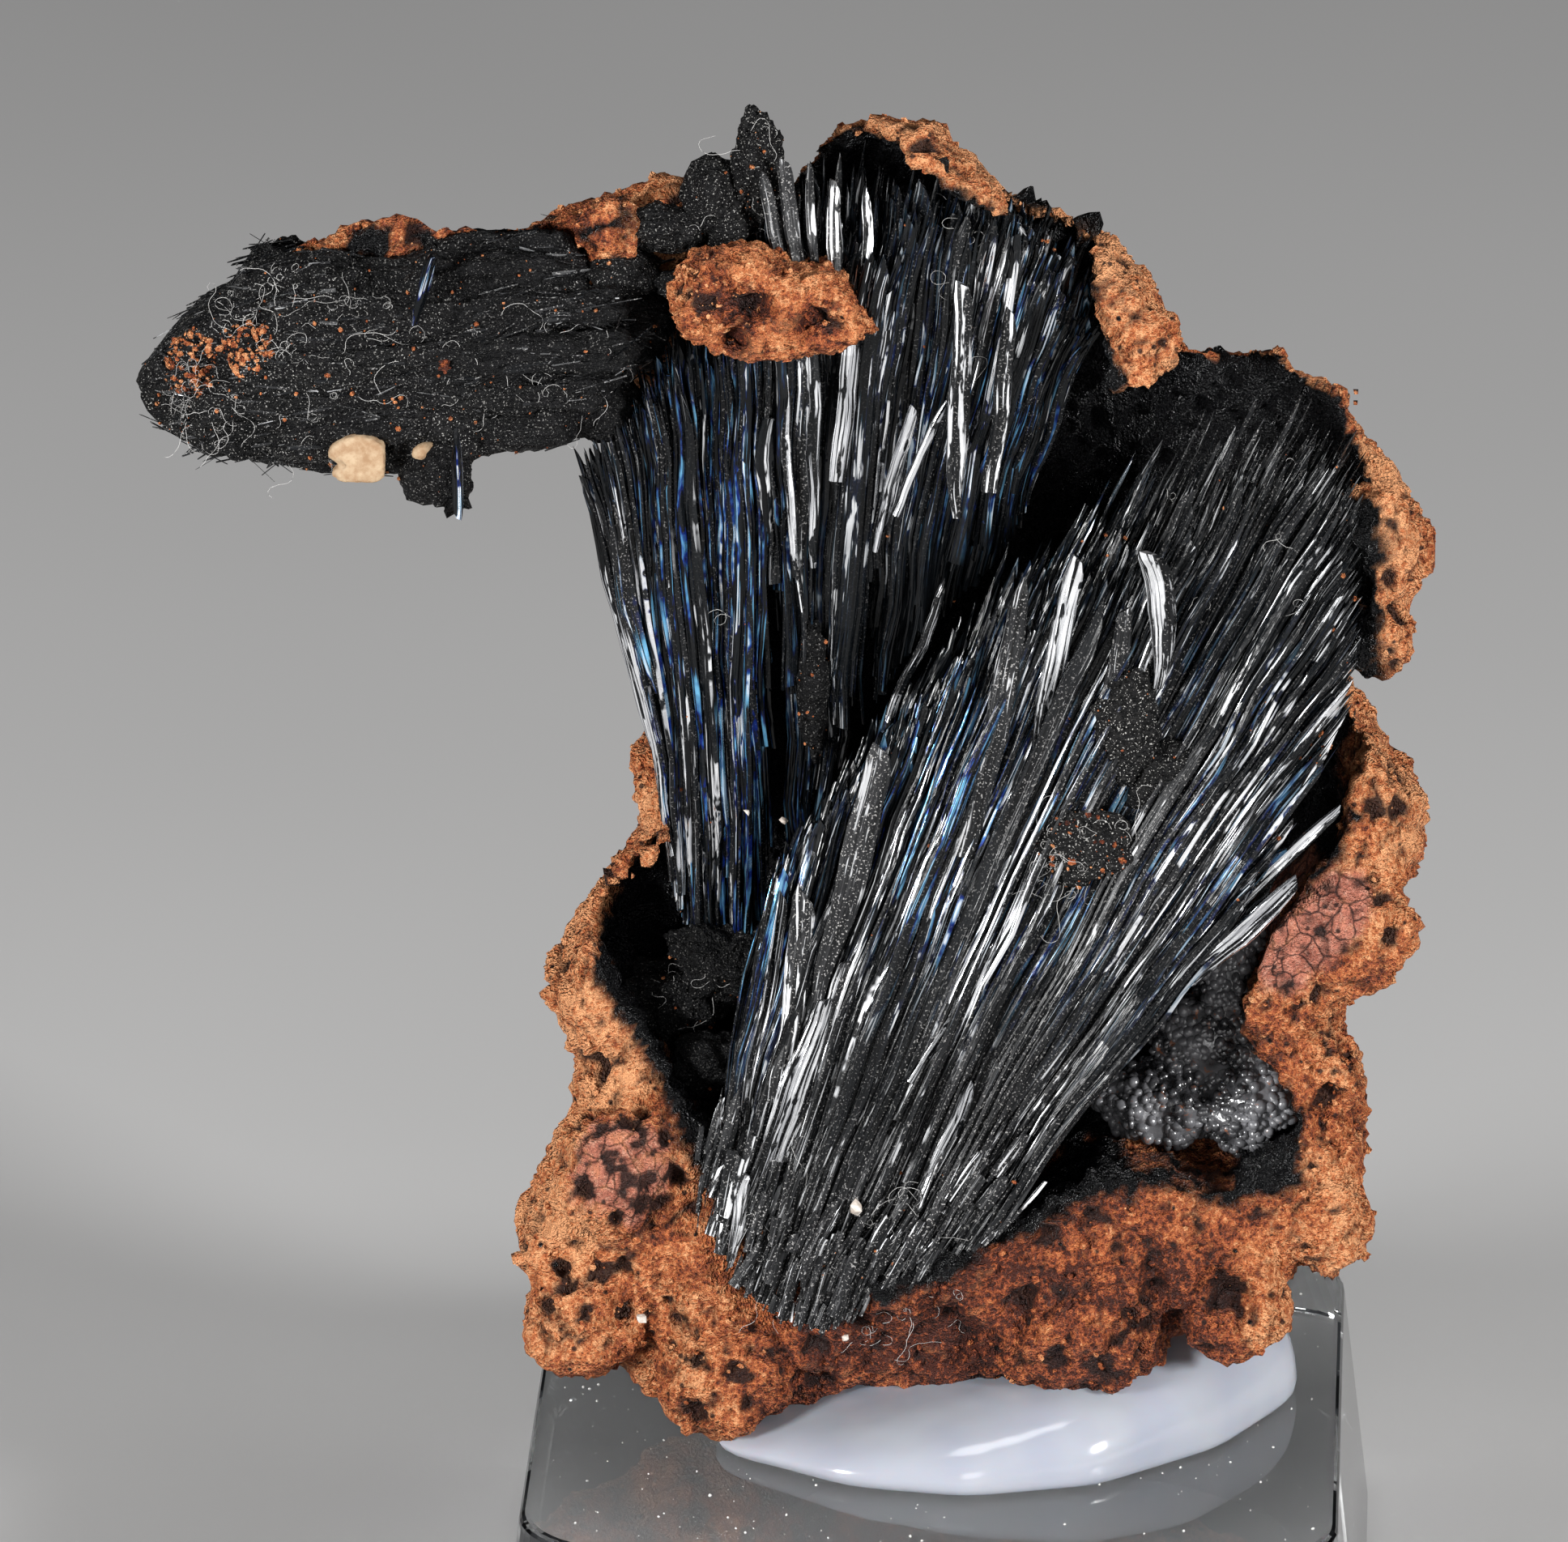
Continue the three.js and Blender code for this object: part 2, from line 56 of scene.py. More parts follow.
# Fans from left to right, in millimetres: the share of the way across, the root, and the tips of the blades
# at the back and in front
RIGHT_FAN = [
    (0, (-8.8, -6, 20.2), (-6, -1, 34), (-6.2, -4.6, 33.4)),
    (0.12, (-8.4, -6.7, 18.6), (-2, -1, 40), (-3, -5, 37.6)),
    (0.25, (-7.2, -7.2, 17), (3, -0.6, 46.6), (1, -4.6, 42)),
    (0.38, (-5.8, -7.5, 16.2), (7, 0.2, 49.4), (4.6, -4, 44.6)),
    (0.5, (-4.6, -7.7, 15.8), (10.6, 0.5, 52), (8, -3.6, 46)),
    (0.6, (-3.4, -7.6, 16.2), (14.6, 0.2, 52.8), (11.4, -3.2, 48.8)),
    (0.7, (-2.2, -7.4, 17), (16.4, -0.4, 50.6), (15, -2.4, 50)),
    (0.8, (-0.8, -7.1, 17.8), (16.6, -0.6, 46), (16.2, -2.6, 46)),
    (0.9, (0.6, -6.8, 18.6), (16.2, -1, 41), (15.6, -3.2, 40.4)),
    (1, (2.2, -6.6, 19.6), (13.4, -2.2, 34), (10.6, -4.2, 30.4)),
]
LEFT_FAN = [
    (0, (-10.4, -1, 31.5), (-14, -0.8, 50.2), (-13.8, -2.2, 50)),
    (0.1, (-9.9, -0.8, 30), (-12.4, -0.4, 52.4), (-11.8, -2.6, 52)),
    (0.25, (-8.8, -0.5, 29), (-10.2, 0.6, 56), (-9.8, -3, 54)),
    (0.4, (-7.4, -0.5, 29.4), (-7.6, 0.6, 60.4), (-7.4, -3, 55)),
    (0.5, (-5.4, -0.6, 33), (-6.2, 0.4, 62.2), (-6, -3, 57)),
    (0.66, (-4.4, -0.5, 35), (-2, 0.8, 62), (-1.6, -2.6, 58.6)),
    (0.7, (-3, -0.1, 39), (-1, 1, 61.6), (-0.8, -1.8, 60.2)),
    (0.82, (-1, 0.3, 41.6), (2.6, 1, 60.4), (2.4, -1.2, 59.6)),
    (0.93, (1.6, 0.7, 44.6), (5.4, 1.4, 58.8), (4.6, -0.6, 57)),
    (1, (3.2, 1.1, 47), (6.4, 2, 55.4), (5.4, 0, 54)),
]
# How much of the blades' lower ends is missing across each fan, which parts it into bundles
RIGHT_GAPS = [
    (0, 0), (0.16, 0), (0.18, 0.35), (0.21, 0.3), (0.23, 0), (0.34, 0), (0.36, 0.3), (0.4, 0.25),
    (0.42, 0), (0.56, 0), (0.58, 0.25), (0.6, 0), (0.78, 0), (0.8, 0.3), (0.82, 0),
]
LEFT_GAPS = [
    (0, 0), (0.12, 0), (0.135, 0.3), (0.15, 0), (0.4, 0), (0.43, 0.72), (0.49, 0.62), (0.52, 0),
    (0.64, 0), (0.67, 0.5), (0.71, 0.4), (0.74, 0), (0.86, 0), (0.88, 0.4), (0.9, 0),
]
# Soft oval spots in the front view, in millimetres: x, z, half width, half height, strength
# Painted glints: where blades get near-white metallic streaks of painted highlight
PAINTED_GLINT_SPOTS = [
    (-12.2, 44, 1.5, 4, 1.5), (-11.2, 39, 1.4, 4, 1.7), (-9.8, 34.5, 1.5, 3, 1.7),
    (-8.6, 41, 1.2, 5, 0.8), (-1.6, 49.6, 1.8, 4, 0.95), (-3.6, 55.5, 2.4, 3.6, 0.8),
    (2, 57, 2.6, 3, 0.8), (1, 52, 1.6, 5, 0.7), (-4.6, 42, 0.8, 8, 0.6), (14.6, 43, 2.6, 5, 1.1),
    (12, 37, 3, 4, 1.1), (8.6, 31, 3, 3.6, 1), (-6, 25, 1.6, 5, 0.95), (1.2, 34, 3.4, 4.4, 1.7),
    (-3.4, 29, 1.8, 4, 0.9), (4.6, 42, 1.3, 4, 0.9), (-0.6, 20.4, 1.5, 3, 0.8), (3.6, 24, 2, 2, 0.7),
    (-4, 50, 7, 12, 0.34), (8, 40, 8, 12, 0.34), (-2, 26, 7, 8, 0.3),
]
# Blue: partly the crystals' own blue, partly painted blue glint
BLUE_SPOTS = [
    (-9, 42, 2.6, 9, 1.3), (-7.8, 32, 2, 3.6, 1.2), (-8.8, 51, 1, 3, 0.9), (2, 52, 3.4, 6, 0.5),
    (0.4, 36.6, 2.4, 3.8, 1.3), (3.4, 33.6, 2.4, 2.6, 1.2), (4.6, 38, 2, 3, 0.6), (10, 36, 5, 6, 0.25),
]
DUST_SPOTS = [
    (-4, 18, 7, 5, 1), (7, 36.4, 3.6, 4.6, 0.9), (2, 26, 3.4, 4, 1), (12, 50, 5, 4, 0.35),
]
# Where the left spray's lower ends sink into the dark
SHADE_SPOTS = [(0.6, 43, 4.4, 4.2, 1.4), (-5.8, 42.5, 1.2, 5, 0.7)]


# Shader building


class Finish:
    """A material with a principled shader, and short calls for the nodes that feed it."""

    def __init__(self, name):
        self.material = bpy.data.materials.new(name)
        self.material.use_nodes = True
        self.tree = self.material.node_tree
        self.shader = self.tree.nodes["Principled BSDF"]
        coords = self.node("ShaderNodeTexCoord")
        scale = self.node("ShaderNodeMapping", Scale=(1000, 1000, 1000))
        self.join(coords.outputs["Object"], scale.inputs["Vector"])
        self.place_mm = scale.outputs["Vector"]

    def node(self, kind, **inputs):
        made = self.tree.nodes.new(kind)
        for name, value in inputs.items():
            made.inputs[name.replace("_", " ")].default_value = value
        return made

    def join(self, output, socket):
        self.tree.links.new(output, socket)

    def set(self, **values):
        for name, value in values.items():
            self.shader.inputs[name.replace("_", " ")].default_value = value

    def feed(self, name, output):
        self.join(output, self.shader.inputs[name])

    def grain(self, size_mm, detail=4, rough=0.6, vector=None):
        made = self.node("ShaderNodeTexNoise", Scale=1 / size_mm, Detail=detail, Roughness=rough)
        self.join(vector or self.place_mm, made.inputs["Vector"])
        return made.outputs["Fac"]

    def cells(self, size_mm, feature="F1", vector=None):
        made = self.node("ShaderNodeTexVoronoi", Scale=1 / size_mm)
        made.feature = feature
        self.join(vector or self.place_mm, made.inputs["Vector"])
        return made.outputs

    def parted(self, kind, output):
        """The parts of a colour or vector."""
        made = self.tree.nodes.new(kind)
        self.join(output, made.inputs[0])
        return made.outputs

    def ramp(self, value, *stops):
        made = self.node("ShaderNodeValToRGB")
        points = made.color_ramp.elements
        while len(points) < len(stops):
            points.new(0.5)
        for point, (at, colour) in zip(points, stops):
            point.position = at
            point.color = (colour, colour, colour, 1) if isinstance(colour, (int, float)) else (*colour, 1)
        self.join(value, made.inputs["Fac"])
        return made.outputs["Color"]

    def span(self, value, low, high, to_low=0.0, to_high=1.0):
        made = self.node("ShaderNodeMapRange", From_Min=low, From_Max=high, To_Min=to_low, To_Max=to_high)
        self.join(value, made.inputs["Value"])
        return made.outputs["Result"]

    def maths(self, operation, a, b=None):
        made = self.tree.nodes.new("ShaderNodeMath")
        made.operation = operation
        for socket, value in zip(made.inputs, (a, b)):
            if isinstance(value, (int, float)):
                socket.default_value = value
            elif value is not None:
                self.join(value, socket)
        return made.outputs["Value"]

    def times(self, a, b):
        return self.maths("MULTIPLY", a, b)

    def plus(self, a, b):
        return self.maths("ADD", a, b)

    def mix(self, factor, a, b):
        made = self.tree.nodes.new("ShaderNodeMix")
        made.data_type = "RGBA"
        for socket, value in ((made.inputs[0], factor), (made.inputs[6], a), (made.inputs[7], b)):
            if isinstance(value, (int, float)):
                socket.default_value = value
            elif isinstance(value, tuple):
                socket.default_value = (*value, 1)
            else:
                self.join(value, socket)
        return made.outputs[2]

    def bump(self, height, distance_mm, strength=1.0, under=None):
        made = self.node("ShaderNodeBump", Strength=strength, Distance=distance_mm * MM)
        self.join(height, made.inputs["Height"])
        if under:
            self.join(under, made.inputs["Normal"])
        return made.outputs["Normal"]

    def warped(self, size_mm, reach_mm):
        """The place moved by a slow noise, so that a regular pattern comes out uneven."""
        slow = self.node("ShaderNodeTexNoise", Scale=1 / size_mm, Detail=2)
        self.join(self.place_mm, slow.inputs["Vector"])
        made = self.tree.nodes.new("ShaderNodeVectorMath")
        made.operation = "MULTIPLY_ADD"
        self.join(slow.outputs["Color"], made.inputs[0])
        made.inputs[1].default_value = (reach_mm, reach_mm, reach_mm)
        self.join(self.place_mm, made.inputs[2])
        return made.outputs["Vector"]

    def two_colours(self, size_mm, colour, other, detail=4, low=0.35):
        """A body of two close colours in soft grains."""
        soft = self.span(self.grain(size_mm, detail), low, 1 - low)
        self.feed("Base Color", self.mix(soft, colour, other))

    def attribute(self, name, output="Fac"):
        made = self.tree.nodes.new("ShaderNodeAttribute")
        made.attribute_name = name
        return made.outputs[output]


def maroon_colour(f, sandy):
    """The smooth plate and disc: patchy maroon, parted by dark cracks."""
    cracks = f.cells(0.9, "DISTANCE_TO_EDGE", f.warped(0.8, 0.7))["Distance"]
    patchy = f.span(f.grain(0.9, rough=0.7), 0.35, 0.62)
    maroon = f.mix(patchy, (0.25, 0.074, 0.048), (0.52, 0.19, 0.125))
    maroon = f.mix(f.span(sandy, 0.5, 0.64, 0.0, 0.7), maroon, (0.58, 0.29, 0.21))
    return f.mix(f.span(cracks, 0.01, 0.075, 0.95, 0.0), maroon, (0.03, 0.009, 0.007))


def pit_shade_and_specks(f):
    """Painted shade in tiny pits, and black grains, told apart by each cell's own number."""
    cell = f.cells(0.62)
    chance = f.parted("ShaderNodeSeparateColor", cell["Color"])["Red"]
    spot = f.span(cell["Distance"], 0.13, 0.23, 1.0, 0.0)
    return f.times(spot, f.span(chance, 0.42, 0.36)), f.times(spot, f.span(chance, 0.9, 0.93))


def ironstone_finish():
    """Earthy limonite: sandy orange to red-brown, pitted, with black grains and a black lining, and painted
    shade in its low spots and pits and a painted highlight on its high spots.
    """
    f = Finish("ironstone")
    sandy = f.grain(0.26, detail=3, rough=0.8)
    hue = f.plus(f.attribute("hue"), f.span(sandy, 0.32, 0.68, -0.46, 0.46))
    body = f.ramp(
        hue, (0.02, (0.055, 0.012, 0.006)), (0.28, (0.25, 0.055, 0.019)), (0.56, (0.45, 0.13, 0.04)),
        (0.95, (0.74, 0.34, 0.155)),
    )
    body = f.mix(f.attribute("plate"), body, maroon_colour(f, sandy))
    # Painted shade darkens the low spots and a painted highlight pales the high ones
    relief_shading = f.attribute("relief_shading")
    body = f.mix(f.span(relief_shading, 0.47, 0.18, 0.0, 0.95), body, (0.014, 0.005, 0.004))
    body = f.mix(f.span(relief_shading, 0.62, 1.0, 0.0, 0.35), body, (0.64, 0.25, 0.095))
    pits, specks = pit_shade_and_specks(f)
    # The tiny pits are only painted: dark spots of painted shade with no depth
    body = f.mix(f.times(pits, 0.9), body, (0.014, 0.005, 0.004))
    black = f.maths("MAXIMUM", specks, f.attribute("lining"))
    body = f.mix(black, body, (0.004, 0.004, 0.0045))
    f.feed("Base Color", body)
    f.feed("Roughness", f.span(black, 0.0, 1.0, 0.6, 0.28))
    f.set(Specular_IOR_Level=0.25)
    f.feed("Normal", f.bump(f.plus(sandy, f.grain(0.13, detail=1)), 0.42, 1.0))
    return f.material


def blade_colour(f, lines, dashes, painted_glint, blue_and_glint, dusty):
    """Near-black glass, dulled by dust, with blue that is partly its own colour and partly painted glint, and
    painted near-white glints on top.
    """
    body = f.mix(f.span(lines, 0.35, 0.65), (0.0008, 0.0009, 0.0012), (0.004, 0.005, 0.006))
    body = f.mix(f.times(dusty, f.span(lines, 0.38, 0.6)), body, (0.013, 0.013, 0.014))
    blues = f.mix(f.span(dashes, 0.48, 0.6), (0.004, 0.024, 0.24), (0.16, 0.46, 0.72))
    body = f.mix(blue_and_glint, body, blues)
    glint_greys = f.mix(f.span(lines, 0.45, 0.6), (0.42, 0.43, 0.46), (0.95, 0.96, 0.98))
    return f.mix(painted_glint, body, glint_greys)


def vivianite_finish():
    """Black glassy blades: lengthwise striations, broken painted glints of near-white metal, and blue that is
    partly their own and partly painted glint.
    """
    f = Finish("vivianite")
    uv = f.node("ShaderNodeUVMap")
    uv.uv_map = "blade"
    across, along, _ = f.parted("ShaderNodeSeparateXYZ", uv.outputs["UV"])

    def streaks(fineness, stretch, detail):
        joined = f.node("ShaderNodeCombineXYZ")
        f.join(f.times(across, fineness), joined.inputs["X"])
        f.join(f.times(along, stretch), joined.inputs["Y"])
        return f.grain(1.0, detail=detail, rough=0.6, vector=joined.outputs["Vector"])

    # Each blade's painted glint level, its blue and its dust
    painted_glint_level, blue, dusty = f.parted("ShaderNodeSeparateColor", f.attribute("blade_glint_blue_dust", "Color"))
    lines, dashes = streaks(7, 0.14, 2), streaks(2.2, 0.42, 3)
    # The stronger a blade's painted glint, the wider its painted glint streaks
    lined = f.span(f.plus(lines, f.times(painted_glint_level, 0.11)), 0.57, 0.61)
    broken = f.span(f.plus(dashes, f.times(painted_glint_level, 0.13)), 0.54, 0.58)
    painted_glint = f.times(f.times(lined, broken), f.span(painted_glint_level, 0.0, 0.4))
    # Blue shows in streaks as metallic blue: partly the crystal's own colour, partly painted blue glint
    lit = f.times(f.span(lines, 0.5, 0.56), f.span(dashes, 0.44, 0.52))
    blue_and_glint = f.times(lit, blue)
    body = blade_colour(f, lines, dashes, painted_glint, blue_and_glint, dusty)
    dust = f.times(f.span(f.grain(0.085, detail=1), 0.62, 0.67), dusty)
    body = f.mix(f.times(dust, 0.8), body, (0.33, 0.32, 0.31))
    f.feed("Base Color", body)
    # Metal where the painted glints and blue glints lie, to make them bright
    glint_metallic = f.maths("MAXIMUM", painted_glint, f.times(blue_and_glint, 0.8))
    f.feed("Metallic", f.times(glint_metallic, f.maths("SUBTRACT", 1.0, dust)))
    rough = f.plus(f.span(dashes, 0.35, 0.65, 0.08, 0.2), f.times(dusty, 0.38))
    f.feed("Roughness", rough)
    f.set(IOR=1.6, Specular_IOR_Level=0.16)
    f.feed("Normal", f.bump(f.plus(lines, dashes), 0.1, 0.7))
    return f.material


def dusty_black_finish():
    """Matte black, striated lengthwise and strewn with sparkling dust."""
    f = Finish("dusty black")
    stretched = f.node("ShaderNodeMapping", Scale=(0.16, 0.8, 1), Rotation=(0, 0.15, 0))
    f.join(f.place_mm, stretched.inputs["Vector"])
    fibre = f.grain(0.3, detail=3, rough=0.7, vector=stretched.outputs["Vector"])
    clods = f.grain(0.22, detail=3, rough=0.7)
    body = f.mix(f.span(fibre, 0.4, 0.7), (0.0012, 0.0012, 0.0014), (0.006, 0.006, 0.0065))
    dust = f.attribute("dust")
    body = f.mix(f.times(f.span(clods, 0.45, 0.7), dust), body, (0.017, 0.0165, 0.016))
    sparkle = f.times(f.span(f.grain(0.08, detail=1), 0.64, 0.69), f.span(dust, 0.0, 0.8, 0.1, 1))
    body = f.mix(sparkle, body, (0.36, 0.35, 0.33))
    f.feed("Base Color", body)
    f.set(Roughness=0.5, IOR=1.5, Specular_IOR_Level=0.11)
    f.feed("Normal", f.bump(f.plus(fibre, clods), 0.3, 1.0))
    return f.material


def black_crust_finish():
    """Shiny black botryoidal crust with a little rust, and grey patches that are partly dust and partly
    painted sheen.
    """
    f = Finish("black crust")
    uneven = f.grain(0.5, detail=4, rough=0.7)
    body = f.mix(f.span(uneven, 0.4, 0.65), (0.01, 0.01, 0.011), (0.06, 0.06, 0.065))
    # Grey patches, partly dust and partly painted sheen
    dust_and_sheen = f.span(f.grain(2.4, detail=2), 0.44, 0.58, 0.0, 0.8)
    body = f.mix(dust_and_sheen, body, (0.17, 0.17, 0.18))
    body = f.mix(f.span(uneven, 0.62, 0.67, 0.0, 0.8), body, (0.24, 0.08, 0.03))
    f.feed("Base Color", body)
    f.set(Roughness=0.22, IOR=1.75)
    f.feed("Normal", f.bump(uneven, 0.06, 0.7))
    return f.material


def putty_finish():
    """Smooth bluish-white putty, slightly waxy."""
    f = Finish("white putty")
    f.two_colours(3.0, (0.27, 0.285, 0.335), (0.3, 0.315, 0.35), detail=1, low=0.3)
    f.set(Roughness=0.14, Subsurface_Weight=0.25, Subsurface_Scale=0.002, IOR=1.5)
    f.feed("Normal", f.bump(f.grain(2.2, detail=1), 0.14, 0.5))
    return f.material


def acrylic_finish():
    """Clear polished acrylic with faint scuffs."""
    f = Finish("clear acrylic")
    f.set(Base_Color=(0.97, 0.985, 0.99, 1), Transmission_Weight=1.0, IOR=1.49)
    f.feed("Roughness", f.span(f.grain(1.4, detail=6, rough=0.8), 0.55, 0.75, 0.012, 0.07))
    return f.material


def plain_finish(name, colour, roughness, other, spread_mm=0.4):
    """A small thing's finish: two close colours in fine grain."""
    f = Finish(name)
    f.two_colours(spread_mm, colour, other)
    f.set(Roughness=roughness)
    f.feed("Normal", f.bump(f.grain(spread_mm * 0.6, detail=4), spread_mm * 0.12, 0.6))
    return f.material


# Shape building


def piece(name, mesh, material, slot, *replaced):
    """A finished mesh as a piece that rides on the specimen."""
    obj = bpy.data.objects.new(name, mesh)
    bpy.context.scene.collection.objects.link(obj)
    mesh.materials.clear()
    mesh.materials.append(material)
    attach(obj, "root")
    if replaced:
        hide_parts(*replaced)
    return obj


def mesh_from(bm, name, smooth=True):
    for face in bm.faces:
        face.smooth = smooth
    mesh = bpy.data.meshes.new(name)
    bm.to_mesh(mesh)
    bm.free()
    return mesh


def softened_copy(node, voxel_mm, rounds):
    """A solid of the model with its doubles merged, remeshed finely and its flat faces melted together."""
    bm = bmesh.new()
    bm.from_mesh(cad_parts[node].data)
    bmesh.ops.remove_doubles(bm, verts=bm.verts, dist=1e-6)
    rough = mesh_from(bm, f"{node} rough")
    carrier = bpy.data.objects.new(f"{node} carrier", rough)
    bpy.context.scene.collection.objects.link(carrier)
    remesh = carrier.modifiers.new("remesh", "REMESH")
    remesh.mode = "VOXEL"
    remesh.voxel_size = voxel_mm * MM
    relax = carrier.modifiers.new("relax", "SMOOTH")
    relax.factor = 0.5
    relax.iterations = rounds
    ready = carrier.evaluated_get(bpy.context.evaluated_depsgraph_get())
    mesh = bpy.data.meshes.new_from_object(ready)
    bpy.data.objects.remove(carrier)
    bpy.data.meshes.remove(rough)
    for polygon in mesh.polygons:
        polygon.use_smooth = True
    return mesh


def points_mm(mesh):
    flat = np.empty(len(mesh.vertices) * 3)
    mesh.vertices.foreach_get("co", flat)
    return flat.reshape(-1, 3) / MM


def normals_of(mesh):
    flat = np.empty(len(mesh.vertices) * 3)
    mesh.vertex_normals.foreach_get("vector", flat)
    return flat.reshape(-1, 3)


def move_points(mesh, points):
    mesh.vertices.foreach_set("co", (points * MM).ravel())
    mesh.update()


def store(mesh, name, values):
    layer = mesh.attributes.new(name, "FLOAT", "POINT")
    layer.data.foreach_set("value", np.clip(values, 0, 1).astype(np.float32))


def lumps(points, size_mm, seed, octaves=3):
    """Fractal unevenness between about -1 and 1 at each point."""
    shift = Vector((seed * 17.3, seed * 5.1, seed * 9.7))
    return np.array([noise.fractal(Vector(p) / size_mm + shift, 0.8, 2.1, octaves) for p in points])


def to_cell_centre(points, size_mm, shift):
    """How far each point is from the middle of its cell, as a share of the size."""
    return np.array([noise.voronoi(Vector(p) / size_mm + Vector(shift))[0][0] for p in points])


def holes(points, size_mm, seed):
    """Depth of small round pits: 1 in the middle of a pit, 0 between them."""
    near = to_cell_centre(points, size_mm, (seed * 3.7, seed * 11.9, seed * 7.3))
    return np.clip(1 - near / 0.42, 0, 1)


def cobbles(points, size_mm, seed):
    """Rounded grains pressed together: about 1 in the middle of a grain, 0 in the creases."""
    near = to_cell_centre(points, size_mm, (seed * 6.1, seed * 2.3, seed * 8.9))
    return np.clip(1 - 1.6 * near * near, 0, 1)


def inside_depth(points, outline):
    """How far each point lies inside a front-view outline, in millimetres; negative outside."""
    flat = points[:, (0, 2)]
    corners = np.array(outline, float)
    inside = np.zeros(len(flat), bool)
    nearest = np.full(len(flat), 1e9)
    for a, b in zip(corners, np.roll(corners, -1, axis=0)):
        edge = b - a
        along = np.clip(((flat - a) @ edge) / (edge @ edge), 0, 1)
        nearest = np.minimum(nearest, np.linalg.norm(flat - a - along[:, None] * edge, axis=1))
        crosses = (a[1] > flat[:, 1]) != (b[1] > flat[:, 1])
        with np.errstate(divide="ignore", invalid="ignore"):
            reach = (b[0] - a[0]) * (flat[:, 1] - a[1]) / (b[1] - a[1]) + a[0]
        inside ^= crosses & (flat[:, 0] < reach)
    return np.where(inside, nearest, -nearest)


def near_spot(points, centre, radius):
    """1 at a spot's centre, falling to 0 at its radius."""
    distance = np.linalg.norm(points - np.array(centre, float), axis=1)
    t = np.clip(1 - distance / radius, 0, 1)
    return t * t * (3 - 2 * t)


# Small things repeated many times, joined into one mesh


def template(bm):
    """A small shape's points and faces, ready to be repeated."""
    bm.verts.index_update()
    points = np.array([v.co[:] for v in bm.verts])
    faces = [[v.index for v in face.verts] for face in bm.faces]
    bm.free()
    return points, faces


def lath_templates(sides, cuts, count=8):
    """Unit laths: x across, y deep, z from root to tip, with ridged faces and slanted or pointed tips."""
    made = []
    for seed in range(count):
        rng = random.Random(100 + seed)
        bm = bmesh.new()
        bmesh.ops.create_cone(bm, cap_ends=True, segments=sides, radius1=1, radius2=1, depth=1)
        bmesh.ops.translate(bm, verts=bm.verts, vec=(0, 0, 0.5))
        for height in cuts:
            everything = bm.verts[:] + bm.edges[:] + bm.faces[:]
            bmesh.ops.bisect_plane(bm, geom=everything, plane_co=(0, 0, height), plane_no=(0, 0, 1))
        ridges = [rng.uniform(0.5, 1.0) for _ in range(sides)]
        slant = rng.uniform(-0.035, 0.035)
        root_width, low_width = rng.choice((0.4, 0.9)), rng.uniform(0.8, 1)
        high_width, tip_width = rng.uniform(0.7, 0.95), rng.choice((0.12, 0.3, 0.5, 0.8))
        for v in bm.verts:
            angle = math.atan2(v.co.y, v.co.x)
            side = math.copysign(abs(math.cos(angle)) ** 0.6, math.cos(angle))
            deep = math.copysign(abs(math.sin(angle)) ** 0.7, math.sin(angle))
            deep *= ridges[round(angle / math.tau * sides) % sides]
            widths = (root_width, low_width, 1, high_width, tip_width)
            wide = np.interp(v.co.z, (0, 0.3, 0.6, 0.93, 1), widths)
            v.co.x = side * wide
            v.co.y = deep * (0.5 + 0.5 * wide)
            v.co.z += slant * side * max(0, v.co.z - 0.9) * 10
        made.append(template(bm))
    return made


def even_cuts(parts):
    """Cuts at even steps up a lath, which also keep its faces short and quick to render."""
    return [k / parts for k in range(1, parts)] + [0.95]


BROAD_LATHS = lath_templates(8, even_cuts(9))
FINE_LATHS = lath_templates(4, even_cuts(10))
SHORT_LATHS = lath_templates(5, [0.8])


def ball_template(detail):
    bm = bmesh.new()
    bmesh.ops.create_icosphere(bm, subdivisions=detail, radius=1)
    return template(bm)


def joined_mesh(name, parts, smooth):
    """One mesh from many (points in mm, faces, uv in mm, painted glint, blue and dust) parts."""
    starts = np.cumsum([0] + [len(part[0]) for part in parts])
    points = np.concatenate([part[0] for part in parts]) * MM
    faces = [[i + start for i in face] for part, start in zip(parts, starts) for face in part[1]]
    mesh = bpy.data.meshes.new(name)
    mesh.from_pydata(points.tolist(), [], faces)
    tones = np.ones((len(points), 4))
    tones[:, :3] = np.concatenate([np.broadcast_to(part[3], part[0].shape) for part in parts])
    layer = mesh.color_attributes.new("blade_glint_blue_dust", "FLOAT_COLOR", "POINT")
    layer.data.foreach_set("color", tones.astype(np.float32).ravel())
    flat_uv = np.concatenate([part[2] for part in parts])
    corners = np.empty(len(mesh.loops), np.int32)
    mesh.loops.foreach_get("vertex_index", corners)
    uv = mesh.uv_layers.new(name="blade")
    uv.data.foreach_set("uv", flat_uv[corners].astype(np.float32).ravel())
    for polygon in mesh.polygons:
        polygon.use_smooth = smooth
    mesh.update()
    return mesh


def lath(shape, root, tip, width, depth, rng, facing=(0, -1, 0), bend=(0, 0, 0), glint_blue_dust=(0.5, 0, 0)):
    """One blade from root to tip, its broad face towards facing, its middle moved aside by bend mm."""
    points, faces = shape
    root, tip = Vector(root), Vector(tip)
    along = tip - root
    length = along.length
    along.normalize()
    side = along.cross(Vector(facing)).normalized()
    face = side.cross(along)
    x, y, t = points[:, 0], points[:, 1], points[:, 2]
    placed = (
        np.array(root)
        + np.outer(t * length, along)
        + np.outer(x * width / 2, side)
        + np.outer(y * depth / 2, face)
        + np.outer(4 * t * (1 - t), bend)
    )
    shift = rng.uniform(0, 60)
    uv = np.stack([x * width / 2 + y * depth / 2 + shift, t * length + shift], axis=1)
    return placed, faces, uv, glint_blue_dust


